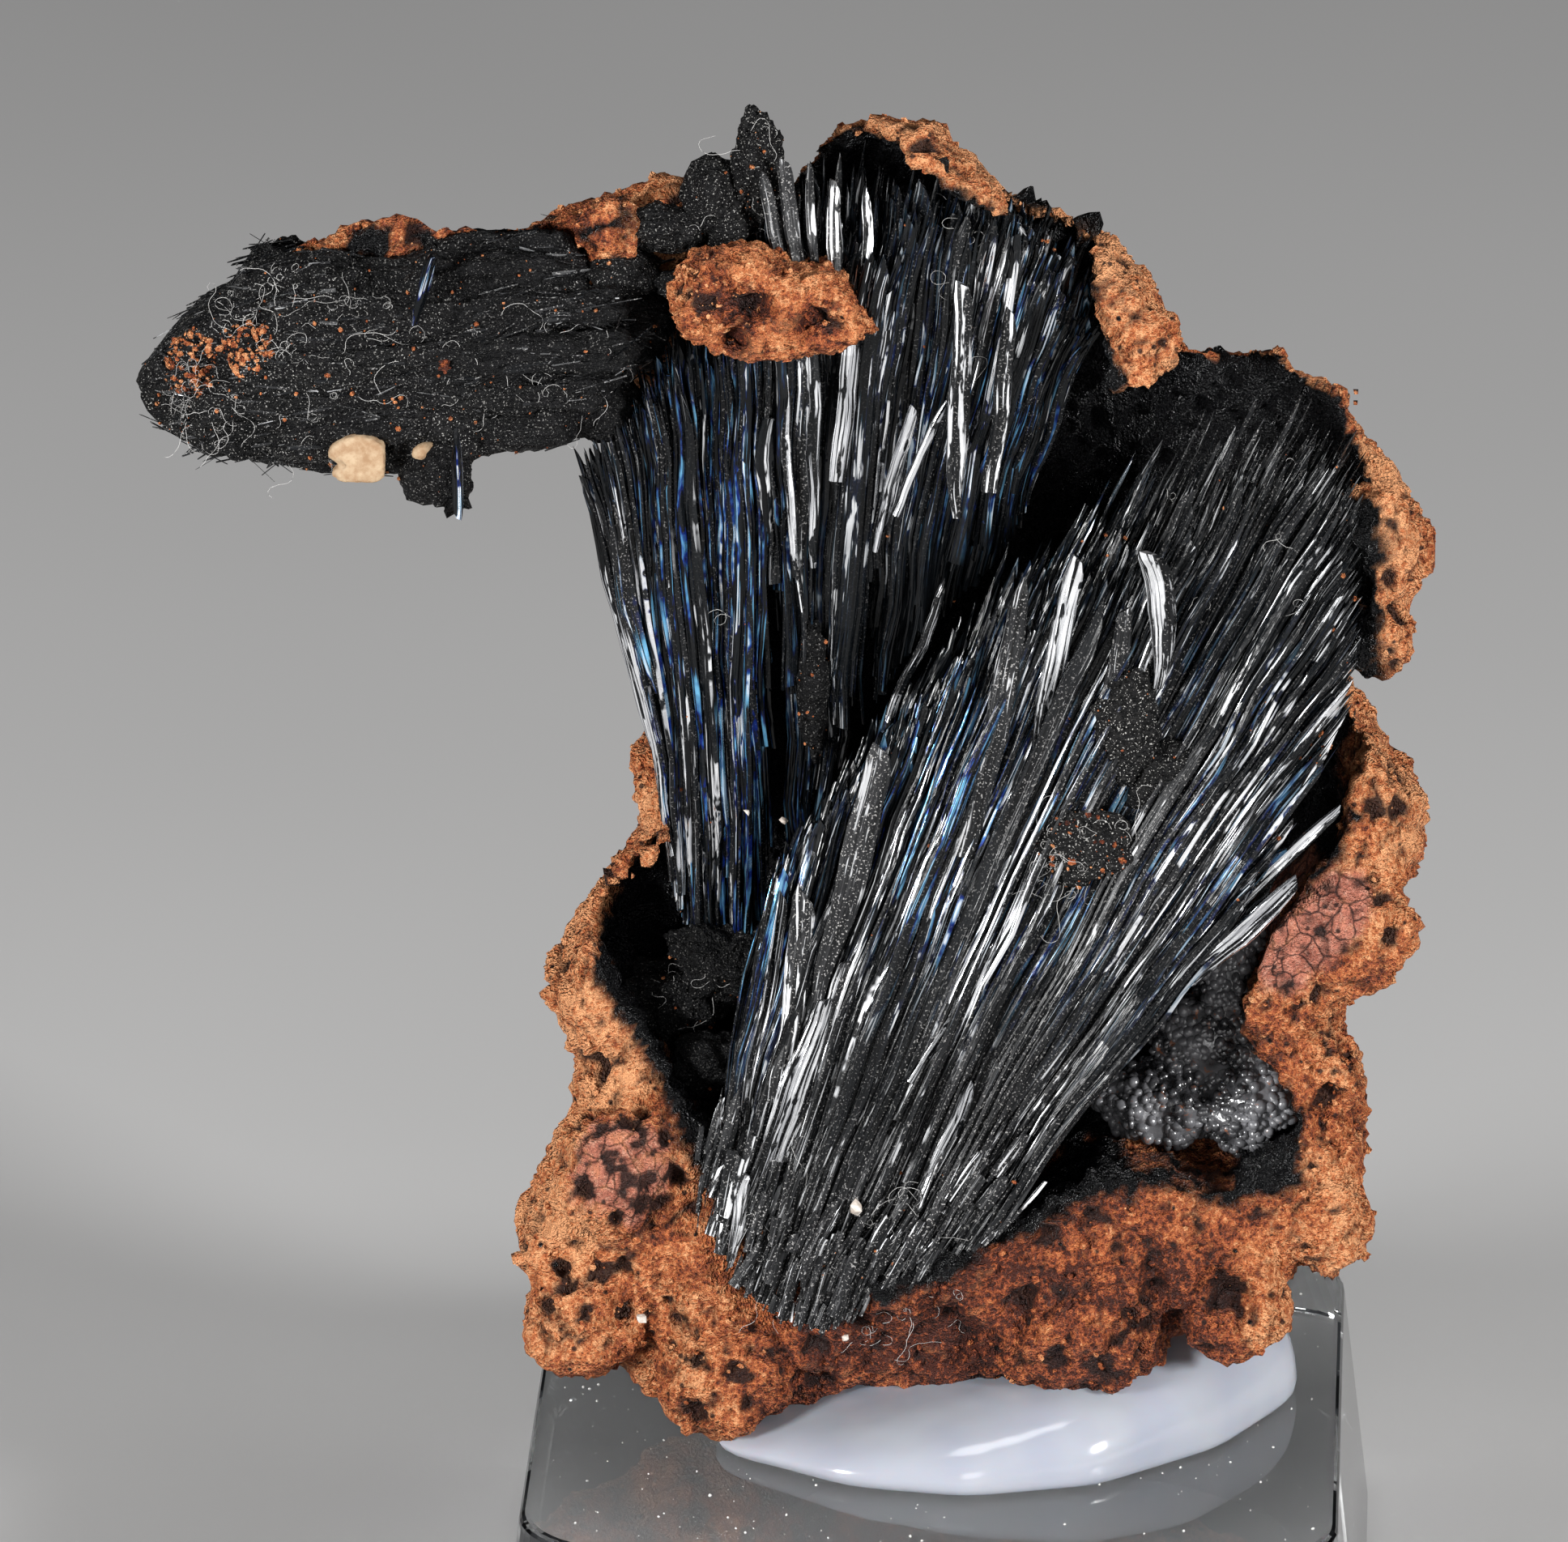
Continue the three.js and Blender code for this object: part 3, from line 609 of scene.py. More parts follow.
def grain(shape, centre, size, rng):
    """One small crumb or bead, unevenly squashed and turned."""
    points, faces = shape
    turn = Matrix.Rotation(rng.uniform(0, math.tau), 3, Vector((rng.random(), rng.random(), 1)))
    squash = [size * rng.uniform(0.7, 1.2) for _ in range(3)]
    placed = (points * squash) @ np.array(turn) + np.array(centre)
    return placed, faces, points[:, :2], (rng.random(), 0, 0)


def across_fan(fan, t):
    """The root, back tip and front tip a fraction t of the way across a fan."""
    shares = [row[0] for row in fan]
    return [
        np.array([np.interp(t, shares, [row[k][axis] for row in fan]) for axis in range(3)])
        for k in (1, 2, 3)
    ]


def wavered(points, size_mm, reach_mm):
    """Points moved a little by a slow unevenness, so that neighbouring blades wave together."""
    moves = np.array([noise.noise_vector(Vector(p) / size_mm) for p in points])
    return points + moves * reach_mm


# Ironstone matrix

# Outlines of the hollow and of the smooth maroon plate in the front view, deep pits (centre, radius, depth)
# and black stains (centre, radius), in millimetres
HOLLOW_OUTLINE = [
    (-8.6, 44), (-9.2, 40), (-10.4, 36), (-10.8, 34.6), (-11.8, 32.8), (-13, 31.2), (-13.8, 29),
    (-12.8, 27), (-10.6, 23.8), (-8.8, 21), (-7, 17.8), (-2, 16.6), (3.5, 19.5), (8, 21.4), (12, 20.6),
    (14.8, 21), (14.5, 24), (12.8, 26), (12, 29), (12.8, 31.5), (16, 34), (16, 37.5), (17, 40),
    (17.4, 43), (17.4, 48), (17.4, 52), (14, 54.6), (10.4, 54), (7.6, 52.5), (6, 58), (1, 61), (-4, 63.6),
    (-7.2, 63.6), (-9.6, 59.5), (-9.6, 54), (-9, 48),
]
PLATE_OUTLINE = [
    (13.7, 33.4), (14.5, 34.1), (15.5, 33.9), (16.6, 33.6), (17.1, 32.7), (16.6, 31.6), (15.9, 30.8),
    (14.9, 29.8), (14.3, 28.9), (13.5, 28.8), (12.7, 29.2), (12.2, 30.3), (12.2, 31.3), (12.9, 32.2),
]
PITS = [
    ((11.3, -7, 17.4), 1, 1.5), ((9.8, -7.6, 14.6), 0.8, 1), ((-11.6, -7, 18.6), 0.7, 0.9),
    ((-2.4, -8, 14.6), 1.2, 0.9), ((-14, -4, 27.2), 0.5, 0.6), ((2.4, -8, 15.2), 0.9, 0.7),
    ((4.6, -8, 14.6), 0.9, 0.7), ((6.6, -8, 14.6), 0.8, 0.7), ((-13.6, -5, 16), 0.5, 0.5),
    ((-9.4, -7.6, 17.6), 0.6, 0.8), ((16.6, -3, 26), 0.7, 0.9), ((15.4, -3.6, 24.4), 0.6, 0.8),
    ((-12.9, -7, 23.2), 0.3, 0.7), ((-10.8, -7, 21.4), 0.4, 0.7), ((-13.6, -6.4, 21.4), 0.5, 0.8),
    ((-11.4, -7, 23.6), 0.22, 0.6), ((-12.2, -7, 21.6), 0.2, 0.5), ((-4.6, -8, 13.4), 0.5, 0.7),
    ((-7.6, -8, 14.2), 0.6, 0.8),
]
BLACK_STAINS = [
    ((-10.6, -7, 19), 0.8), ((1.6, -8, 16.4), 0.4), ((2.6, -8, 15.8), 0.45), ((3.8, -8, 15.3), 0.5),
    ((5, -8, 15), 0.45), ((6, -8, 15.2), 0.4), ((15.6, -4, 27), 0.6), ((16.4, -3, 36), 0.7),
    ((14.8, -4, 35.2), 1), ((-13.4, -5, 27), 0.5), ((17.4, -2, 33), 0.4), ((12.6, -5, 28), 0.7),
]


def ironstone_hue(points):
    """0 for dark red-brown, 1 for sandy orange: orange on the outer rims, redder low in the middle."""
    rim = np.linalg.norm((points - [2.0, 0, 17]) * [0.055, 0.0, 0.03], axis=1)
    centres = ((-2, -8, 14), (7, -7, 17), (16, -2, 29), (-17, -3, 58))
    red = np.max([near_spot(points, centre, 9) for centre in centres], axis=0)
    grains = 0.38 * lumps(points, 3.4, 41) + 0.16 * lumps(points, 1.0, 43)
    return 0.18 + 0.62 * np.minimum(rim, 0.95) - 0.26 * red + grains


def weathered(mesh, strength=1.0, seed=1):
    """The lumpy, grainy, pitted height of ironstone over a softened solid, and its relief shading: painted
    shade low down and in the pits, painted highlight up high.
    """
    points = points_mm(mesh)
    broad = lumps(points, 4.2, seed)
    knobs = lumps(points, 1.5, seed + 2)
    grains = cobbles(points, 0.8, seed + 4)
    crumbs = lumps(points, 0.5, seed + 5, octaves=4)
    pits = holes(points, 1.3, seed + 7) ** 0.6 * np.clip(0.05 + lumps(points, 4, seed + 11) * 3, 0, 1)
    height = strength * (0.42 * broad + 0.24 * knobs + 0.16 * (grains - 0.6) + 0.24 * crumbs - 0.75 * pits)
    relief_shading = 0.5 + 0.15 * knobs + 0.14 * (grains - 0.6) + 0.42 * crumbs - 0.9 * pits
    return points, height, relief_shading


def black_lining(points, normals, ragged):
    """1 where the hollow's black lining or a black stain covers the rock, 0 elsewhere."""
    inside = inside_depth(points, HOLLOW_OUTLINE)
    towards_hollow = np.sum(normals * (np.array([1.0, -12, 38]) - points), axis=1) > 0
    edge = inside / 0.45 + 0.2 + 1.1 * lumps(points, 1.5, 31) + 0.6 * lumps(points, 0.5, 33)
    lining = np.clip(edge, 0, 1) * towards_hollow
    for centre, radius in BLACK_STAINS:
        stain = near_spot(points, centre, radius * 1.6)
        lining = np.maximum(lining, np.clip((stain - 0.4 + ragged) * 5, 0, 1))
    return lining


def maroon_places(points, normals, ragged):
    """How strongly the smooth plate and the cracked disc show at each point."""
    plate = np.clip(inside_depth(points, PLATE_OUTLINE) / 0.5 + 0.5 + 0.8 * ragged, 0, 1)
    plate *= normals[:, 1] < 0.1
    disc = np.clip((near_spot(points, (-12, -7, 22.4), 3.6) - 0.22 + 0.5 * ragged) * 4, 0, 0.9)
    return plate, disc


def ironstone_matrix(finish):
    """The rock with its lining, plate, disc and pits, and the crust that it sends along the wing."""
    mesh = softened_copy("ironstone_matrix", 0.266, 6)
    normals = normals_of(mesh)
    points, height, relief_shading = weathered(mesh)
    ragged = 0.5 * lumps(points, 0.9, 35)
    lining = black_lining(points, normals, ragged)
    plate, disc = maroon_places(points, normals, ragged)
    relief_shading -= disc * (0.12 - 0.9 * lumps(points, 0.8, 43))
    height *= 1 - 0.8 * np.maximum(plate, 0.6 * disc)
    height += 0.3 * lining * lumps(points, 0.7, 37)
    # Deep pits are dug in and darkened with painted shade
    for centre, radius, depth in PITS:
        spot = near_spot(points, centre, radius * 1.6)
        height -= depth * spot
        relief_shading -= np.clip((spot - 0.35 + 0.6 * ragged) * 3, 0, 1)
    # The crust on the wing is thin, falls away behind and has black places
    on_wing = np.clip((-10.5 - points[:, 0]) / 2, 0, 1) * np.clip((points[:, 2] - 55.5) / 1.5, 0, 1)
    behind = np.clip((points[:, 1] + 0.6) / 3, 0, 1)
    points[:, 2] -= on_wing * (0.1 + 2.0 * behind) * np.clip((-14 - points[:, 0]) / 3, 0.35, 1)
    lining = np.maximum(lining, on_wing * np.clip((lumps(points, 1.1, 39) - 0.2) * 6, 0, 1))
    store(mesh, "hue", ironstone_hue(points) - 0.22 * on_wing)
    store(mesh, "relief_shading", relief_shading)
    store(mesh, "lining", lining)
    store(mesh, "plate", np.maximum(plate, disc) * (1 - lining))
    low, high = (np.array(corner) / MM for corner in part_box("ironstone_matrix"))
    move_points(mesh, np.clip(points + normals * height[:, None], low + 0.05, high - 0.05))
    return piece("ironstone_rock", mesh, finish, "ironstone", "ironstone_matrix")


def scatter_points(mesh, count, rng, wanted):
    """Random places on a mesh's faces with their normals, for faces that wanted(face) takes."""
    found = []
    total = len(mesh.polygons)
    while len(found) < count:
        polygon = mesh.polygons[rng.randrange(total)]
        if wanted(polygon):
            found.append((np.array(polygon.center) / MM, np.array(polygon.normal)))
    return found


def crumb_templates(count=5):
    """Angular grains: small balls with their points pushed in and out."""
    made = []
    for seed in range(count):
        rng = random.Random(200 + seed)
        points, faces = ball_template(1)
        made.append((points * np.array([[rng.uniform(0.65, 1.25)] for _ in points]), faces))
    return made


def crumbs_piece(name, finish, spots, smallest, largest, hue_shift, rng):
    """Angular grains at places on a surface, most of them small."""
    shapes = crumb_templates()
    parts = []
    for spot, normal in spots:
        shape, size = rng.choice(shapes), smallest + (largest - smallest) * rng.random() ** 3
        parts.append(grain(shape, spot - normal * 0.02, size, rng))
    mesh = joined_mesh(name, parts, smooth=False)
    hues = np.repeat([rng.uniform(-0.36, 0.3) for _ in parts], len(parts[0][0]))
    store(mesh, "relief_shading", np.full(len(mesh.vertices), 0.6))
    store(mesh, "hue", ironstone_hue(points_mm(mesh)) + hue_shift + hues)
    return piece(name, mesh, finish, "ironstone")


def ironstone_crumbs(rock, finish):
    """Loose crumbs stuck all over the rock."""
    rng = random.Random(5)
    lining = rock.data.attributes["lining"].data
    plate = rock.data.attributes["plate"].data
    firsts = [polygon.vertices[0] for polygon in rock.data.polygons]
    bare = [lining[first].value > 0.4 or plate[first].value > 0.2 for first in firsts]
    spots = scatter_points(rock.data, 8600, rng, lambda p: not bare[p.index] and p.center.z > 12.5 * MM)
    return crumbs_piece("ironstone_crumbs", finish, spots, 0.05, 0.24, 0.1, rng)


def faces_near(places, turned, rng):
    """Random faces round places on pieces, given as (piece, centre, radius, how many).

    turned is the most that a face may point to the back.
    """
    for host, centre, radius, count in places:
        centre = Vector(centre) * MM
        faces = [face for face in host.data.polygons if face.normal.y < turned]
        near = [face for face in faces if (face.center - centre).length < radius * MM]
        for _ in range(count if near else 0):
            yield rng.choice(near)


def ironstone_patches(finish, *patches):
    """Brown crumbs crusted on other pieces."""
    rng = random.Random(6)
    spots = [(np.array(p.center) / MM, np.array(p.normal)) for p in faces_near(patches, 0.3, rng)]
    return crumbs_piece("ironstone_patches", finish, spots, 0.04, 0.2, -0.15, rng)


# The patch's craters: centre, radius
CRATERS = [
    ((-8.5, -5.4, 57.8), 0.75), ((-7.1, -5.4, 57.6), 0.8), ((-4.6, -5.4, 56.6), 0.75),
    ((-8, -5.4, 56), 0.5),
]


def brow_crust(finish):
    """The brown patch with craters in front of the left spray."""
    mesh = softened_copy("brow_crust", 0.12, 4)
    points, height, relief_shading = weathered(mesh, strength=0.8, seed=9)
    hue = 0.46 + 0.4 * lumps(points, 1.5, 45)
    # The patch is lifted towards painted highlight, and each crater is dug in and painted darker as shade, in
    # its relief shading and its hue
    relief_shading += 0.2
    for centre, radius in CRATERS:
        spot = near_spot(points, centre, radius * 1.6)
        height -= 1.1 * spot
        relief_shading -= 0.5 * spot
        hue -= 0.5 * spot
    store(mesh, "hue", hue)
    store(mesh, "relief_shading", relief_shading)
    move_points(mesh, points + normals_of(mesh) * height[:, None])
    return piece("brow_patch", mesh, finish, "ironstone", "brow_crust")


# Vivianite


def strength_at(spots, points):
    """How strongly soft oval spots in the front view reach each point."""
    x, z = points[:, 0], points[:, 2]
    reached = [s * np.exp(-(((x - cx) / rx) ** 2) - ((z - cz) / rz) ** 2) for cx, cz, rx, rz, s in spots]
    return np.max(reached, axis=0)


def toned(blade, rng):
    """The blade with its painted glint, blue and dust by where it lies, each more or less by chance, and none
    of them where painted shade lies.
    """
    points, faces, uv, _ = blade
    painted_glint = strength_at(PAINTED_GLINT_SPOTS, points) * rng.random() ** 1.3 * 1.15
    blue = strength_at(BLUE_SPOTS, points) * (1.0 if rng.random() < 0.6 else 0.0)
    dust = np.clip(strength_at(DUST_SPOTS, points) + rng.random() ** 3 * 0.6, 0, 1)
    lit = 1 - np.clip(strength_at(SHADE_SPOTS, points) * (points[:, 1] > -2.8), 0, 1)
    return points, faces, uv, np.stack([painted_glint, np.clip(blue * 1.5, 0, 1), dust], axis=1) * lit[:, None]


def blade_fan(fan, gaps, count, seed, broad_shares, flare, root_depth=2.8):
    """Blades fanned between a line of roots and the tips at the back and in front.

    broad_shares are (t, share) pairs across the fan, for how many blades are broad. flare is how far a blade
    stands up before it leans out.
    """
    rng = random.Random(seed)
    blades = []
    for i in range(count):
        t = (i + rng.random()) / count
        forward = rng.random() ** 0.55
        crest = noise.noise(Vector((t * 12, seed, 0.5)))
        root = across_fan(fan, np.clip(t + rng.gauss(0, 0.02), 0, 1))[0]
        _, back, front = across_fan(fan, np.clip(t + rng.gauss(0, 0.012), 0, 1))
        root = root + [0, (1 - forward) * root_depth + rng.uniform(-0.3, 0.3) + crest * 0.9, 0]
        tip = back * (1 - forward) + front * forward + [0, crest * 1.0, 0]
        begin = max(rng.random() ** 2.2 * 0.5, np.interp(t, *zip(*gaps)) * rng.uniform(0.7, 1.1))
        reach = 1 - rng.random() ** 5 * 0.4 - 0.06 * abs(noise.noise(Vector((t * 26, seed, 8))))
        sway = np.array([(root[0] - tip[0]) * flare, 0, 0])
        ends = [root + (tip - root) * part + sway * 4 * part * (1 - part) for part in (begin, reach)]
        ends[1] = ends[1] + [rng.gauss(0, 0.12), rng.gauss(0, 0.2), rng.gauss(0, 0.12)]
        bend = sway * (reach - begin) ** 2 + [rng.gauss(0, 0.08), rng.gauss(-0.1, 0.15), 0]
        facing = (rng.gauss(0, 0.45), -1, rng.gauss(0.1, 0.2))
        if rng.random() < np.interp(t, *zip(*broad_shares)):
            width = rng.uniform(0.4, 1.0)
            shape, depth = rng.choice(BROAD_LATHS), width * rng.uniform(0.25, 0.5)
        else:
            width = rng.uniform(0.1, 0.3)
            shape, depth = rng.choice(FINE_LATHS), width * rng.uniform(0.6, 1.0)
        blades.append(toned(lath(shape, *ends, width, depth, rng, facing, bend), rng))
    return blades


# Blades that stand out: root, tip, width, depth, bend sideways, painted glint, dust
PLACED_BLADES = [
    ((8.5, -4.6, 42), (8.1, -5, 47.6), 1.1, 0.4, 0.4, 0.75, 0.4),
    ((3.6, -4.6, 38), (5.4, -4.2, 47), 0.9, 0.4, 0, 0.9, 0.2),
    ((1, -5.2, 35), (3.4, -4.6, 46.4), 1, 0.5, 0.1, 0.2, 0.8),
    ((-4.6, -6, 29), (-2.2, -5.2, 39.4), 1.3, 0.5, 0.1, 0.15, 1),
    ((-7, -6.6, 21), (-4.2, -6.2, 29.2), 1.2, 0.45, 0, 0.95, 0.2),
    ((-7.6, -6, 23), (-6, -4.6, 33), 0.6, 0.4, 0, 0.8, 0.3),
    ((-1.4, -6.8, 19.4), (1.6, -6.2, 26), 0.7, 0.4, 0, 0.95, 0.2),
    ((2.6, -6.2, 20.6), (5.6, -5.4, 27), 0.4, 0.3, 0, 1, 0.1),
    ((-1, -6.4, 26), (4.8, -5.2, 36), 0.6, 0.35, 0.2, 1, 0.1),
    ((6.2, -4.4, 38), (7.2, -4.4, 45), 0.9, 0.45, 0, 0.3, 0.8),
    ((-2.6, -2.8, 46.6), (-1, -2.9, 52.6), 0.6, 0.35, 0, 1.3, 0.1),
    ((-4, -3, 49.6), (-3.2, -3, 56.4), 0.8, 0.35, 0, 1.1, 0.1),
    ((-4.9, -3, 46), (-4.9, -3, 56), 0.5, 0.3, 0, 0.9, 0.1),
    ((-5.4, -2.6, 44), (-6.2, -2.9, 55), 0.4, 0.3, 0, 0.8, 0.3),
    ((0.6, -2.6, 48), (0.8, -2.6, 57.6), 0.9, 0.4, 0, 0.6, 0.4),
    ((1.9, -2.3, 49), (2.6, -2.2, 56.4), 0.7, 0.4, 0, 0.4, 0.5),
    ((-1.8, -2.6, 48), (0.2, -2.2, 52.8), 0.35, 0.3, 0, 1, 0.1),
    ((10, -4, 31), (15.6, -2.8, 36.4), 0.6, 0.35, 0, 1, 0.1),
    ((6, -5, 25.6), (12.8, -3.8, 33), 0.6, 0.35, 0, 0.9, 0.2),
    ((9.8, -4.6, 29.8), (14, -4.2, 33.8), 0.9, 0.35, 0, 1.1, 0.2),
    ((-6, -6.4, 22.6), (-3.4, -5.8, 30.6), 0.8, 0.4, 0.1, 0.3, 0.9),
    ((-8, -7.2, 18.4), (-7.4, -6.9, 22), 0.6, 0.3, 0, 0.8, 0.4),
    ((-5.4, -7.6, 18), (-4.6, -7.4, 20.8), 0.4, 0.3, 0, 0.9, 0.4),
    ((-3.2, -6.4, 24), (-1.4, -5.8, 32), 1, 0.4, 0.1, 0.35, 0.9),
    ((-6, -6.2, 25), (-5.2, -5.4, 33.6), 1.1, 0.4, 0.1, 0.4, 0.9),
    ((-1.9, -1.4, 39.4), (0.2, -2, 45.2), 0.45, 0.3, 0, 0.8, 0.2),
    ((-5.8, -2.4, 56.6), (-7, -1.4, 61.6), 0.7, 0.5, 0, 0.1, 1),
    ((-5.2, -2.4, 56.4), (-6.2, -1.5, 62.2), 0.7, 0.5, 0, 0.15, 0.9),
    ((-4.6, -2.4, 56), (-5.2, -1.6, 62), 0.4, 0.4, 0, 0.35, 0.6),
    ((-3.9, -2.6, 55.6), (-4.2, -1.8, 61.4), 0.6, 0.4, 0, 0.45, 0.6),
    ((-3, -2.6, 55.4), (-2.9, -1.8, 61), 0.4, 0.4, 0, 0.6, 0.4),
]


def hand_placed_blades():
    rng = random.Random(77)
    made = []
    for root, tip, width, depth, bend, painted_glint, dust in PLACED_BLADES:
        shape, facing = rng.choice(BROAD_LATHS), (rng.gauss(0, 0.2), -1, 0.1)
        made.append(lath(shape, root, tip, width, depth, rng, facing, (bend, 0, 0), (painted_glint, 0, dust)))
    return made


def foot_blades(count):
    """Short dusted blades broken off around the foot of the right spray."""
    rng = random.Random(8)
    made = []
    for _ in range(count):
        root, _, front = across_fan(RIGHT_FAN, rng.random() ** 1.2)
        way = Vector(front - root).normalized() + Vector([rng.gauss(0, 0.07) for _ in range(3)])
        start = Vector(root) + Vector((rng.gauss(0, 0.3), -0.5 * rng.random(), rng.uniform(-0.1, 3.4)))
        width = 0.08 + 0.5 * rng.random() ** 2
        end = start + way.normalized() * (0.8 + 3 * rng.random() ** 2)
        glint_blue_dust = (0.5 * rng.random() ** 2, 0, rng.uniform(0.6, 1))
        made.append(lath(rng.choice(SHORT_LATHS), start, end, width, width * 0.5, rng, glint_blue_dust=glint_blue_dust))
    return made


def vivianite_sprays(finish):
    """The right and left sprays' blades, as two pieces."""
    broad_on_right = [(0, 0.35), (0.3, 0.25), (0.45, 0.1), (1, 0.08)]
    broad_on_left = [(0, 0.05), (0.4, 0.1), (0.5, 0.35), (0.7, 0.3), (1, 0.1)]
    right = blade_fan(RIGHT_FAN, RIGHT_GAPS, 1730, 3, broad_on_right, 0.03)
    right += hand_placed_blades() + foot_blades(300)
    left = blade_fan(LEFT_FAN, LEFT_GAPS, 1700, 4, broad_on_left, 0.1, 1.4)
    made = []
    for name, blades in (("right_blades", right), ("left_blades", left)):
        mesh = joined_mesh(name, blades, smooth=False)
        move_points(mesh, wavered(wavered(points_mm(mesh), 3.0, 0.25), 0.7, 0.05))
        made.append(piece(name, mesh, finish, "vivianite", "vivianite_sprays"))
    return made


# Dull clots of broken, dusted crystal: centre, half sizes, dust
CLOTS = [
    ((7.4, -4.6, 40.4), (1.3, 0.6, 2.4), 1), ((8.9, -4.2, 37.9), (1.5, 0.7, 1.6), 0.9),
    ((5.6, -5.2, 35.4), (1.9, 0.7, 1.6), 1), ((-5, -1.3, 40.6), (0.6, 0.6, 2.8), 0.2),
    ((-8.2, -0.5, 28.8), (2.5, 1.5, 1.5), 0.15), ((-10.4, 0.2, 26.8), (2.6, 1.6, 1.4), 0.15),
    ((-9, -1.6, 24.6), (1.6, 1.4, 1.3), 0.1), ((-7.2, -0.2, 61.2), (1.1, 1, 2.3), 0.6),
    ((-8.7, -0.4, 59.8), (1.5, 1.2, 1.7), 0.6), ((-10.8, -0.8, 59), (1.7, 1.2, 1), 0.5),
    ((-12.6, -1.4, 57.4), (1.5, 1.2, 1), 0.4), ((-9.4, -2, 57.2), (1.5, 1.2, 0.7), 0.3),
    ((-14.6, -1.8, 56.6), (1.6, 1.1, 0.9), 0.6), ((-19.4, -3.4, 49.8), (1.5, 1.1, 1.3), 0.3),
    ((-13.4, -1.4, 52), (1.7, 1.1, 1.5), 0.15),
]


def dusty_masses(finish):
    """Two clots on the right spray, the rest at the left spray's foot and between its peak and the wing."""
    parts, dust = [], []
    for seed, (centre, size, dusty) in enumerate(CLOTS):
        bm = bmesh.new()
        bmesh.ops.create_icosphere(bm, subdivisions=5 if max(size) > 2 else 4, radius=1)
        points, faces = template(bm)
        rough = points * size
        swell = 1 + 0.32 * lumps(rough, 1.2, seed + 51) + 0.1 * lumps(rough, 0.3, seed + 61)
        parts.append((rough * swell[:, None] + np.array(centre), faces, points[:, :2], (0, 0, 1)))
        dust += [dusty] * len(points)
    mesh = joined_mesh("dusty_masses", parts, smooth=True)
    store(mesh, "dust", np.array(dust))
    return piece("dusty_masses", mesh, finish, "vivianite")


# The wing's outline in the front view
WING_OUTLINE = [
    (-31.5, 52.4), (-30.4, 53.8), (-28.9, 55.4), (-27.6, 56), (-26.9, 57.4), (-24.6, 58.2), (-21, 58.9),
    (-10, 61), (-8.6, 56), (-9, 52.4), (-12, 50.8), (-16, 50.2), (-20, 49.2), (-24, 48.9), (-27, 49.2),
    (-29.6, 49.9), (-31, 51), (-31.5, 51.8),
]
# Root, tip and width of the wing's two bright needles
NEEDLES = [((-20.2, -4.6, 56.3), (-19.4, -5.6, 59.4), 0.5), ((-18.6, -4.8, 52.2), (-18.5, -5.2, 48.6), 0.45)]


def wing_body(finish):
    """The wing's striated black body."""
    mesh = softened_copy("vivianite_wing", 0.17, 6)
    points = points_mm(mesh)
    ridges = np.stack([points[:, 0] * 0.15, points[:, 1] * 0.8, points[:, 2] - 0.15 * points[:, 0]], axis=1)
    height = 0.5 * lumps(ridges, 1.3, 21) + 0.26 * lumps(ridges, 0.45, 22) + 0.1 * lumps(points, 0.4, 24)
    height += 0.24 * lumps(points, 2.4, 23) + 0.05
    height = np.minimum(height, inside_depth(points, WING_OUTLINE) * 0.9 - 0.1)
    dust = np.interp(points[:, 0], (-30, -17, -12), (0.7, 0.25, 0.0))
    store(mesh, "dust", dust + 0.4 * lumps(points, 2.4, 25))
    move_points(mesh, points + normals_of(mesh) * height[:, None])
    return piece("wing_body", mesh, finish, "vivianite", "vivianite_wing")


def wing_fibres(body, finish, rng):
    """Broken fibres that lie along the wing and leave its needles clear."""
    fibres = []
    clear = [(np.array(a) + np.array(b)) / 2 for a, b, _ in NEEDLES]
    for spot, normal in scatter_points(body.data, 1500, rng, lambda p: -30 * MM < p.center.x < -10.5 * MM):
        if min(np.linalg.norm((spot - middle)[[0, 2]]) for middle in clear) < 2.2:
            continue
        way = Vector((-1, rng.gauss(0, 0.08), -0.15 + rng.gauss(0, 0.08)))
        way -= Vector(normal) * (way.dot(Vector(normal)) - 0.03)
        length = 0.5 + 2.4 * rng.random() ** 2
        start = Vector(spot) - Vector(normal) * 0.02 - way.normalized() * length * 0.5
        width = rng.uniform(0.05, 0.2)
        end = start + way.normalized() * length
        glint_blue_dust = (0.25 * rng.random() ** 3, 0, rng.uniform(0.3, 1))
        shape = rng.choice(SHORT_LATHS)
        fibres.append(lath(shape, start, end, width, width * 0.5, rng, tuple(normal), glint_blue_dust=glint_blue_dust))
    piece("wing_fibres", joined_mesh("wing_fibres", fibres, smooth=False), finish, "vivianite")


def wing_needles(finish, rng):
    """The wing's two blue needles, made bright by painted glints."""
    needles = [
        lath(BROAD_LATHS[1], a, b, width, width * 0.7, rng, (0.25, -1, 0.1), glint_blue_dust=(0.45, 1, 0))
        for a, b, width in NEEDLES
    ]
    piece("wing_needles", joined_mesh("wing_needles", needles, smooth=False), finish, "vivianite")


# Pockets, chip, dust and lint


def botryoidal_crust(finish):
    """Black crust of little round beads in the lower right pocket."""
    mesh = softened_copy("right_pocket_crust", 0.2, 8)
    points = points_mm(mesh)
    move_points(mesh, points + normals_of(mesh) * (0.35 * lumps(points, 1.4, 41))[:, None])
    rng = random.Random(15)
    shape = ball_template(2)
    spots = scatter_points(mesh, 1150, rng, lambda p: p.normal.y < 0.3)
    beads = [grain(shape, spot, rng.uniform(0.11, 0.28), rng) for spot, _ in spots]
    piece("pocket_beads", joined_mesh("pocket_beads", beads, smooth=True), finish, "black_crust")
    return piece("pocket_crust", mesh, finish, "black_crust", "right_pocket_crust")


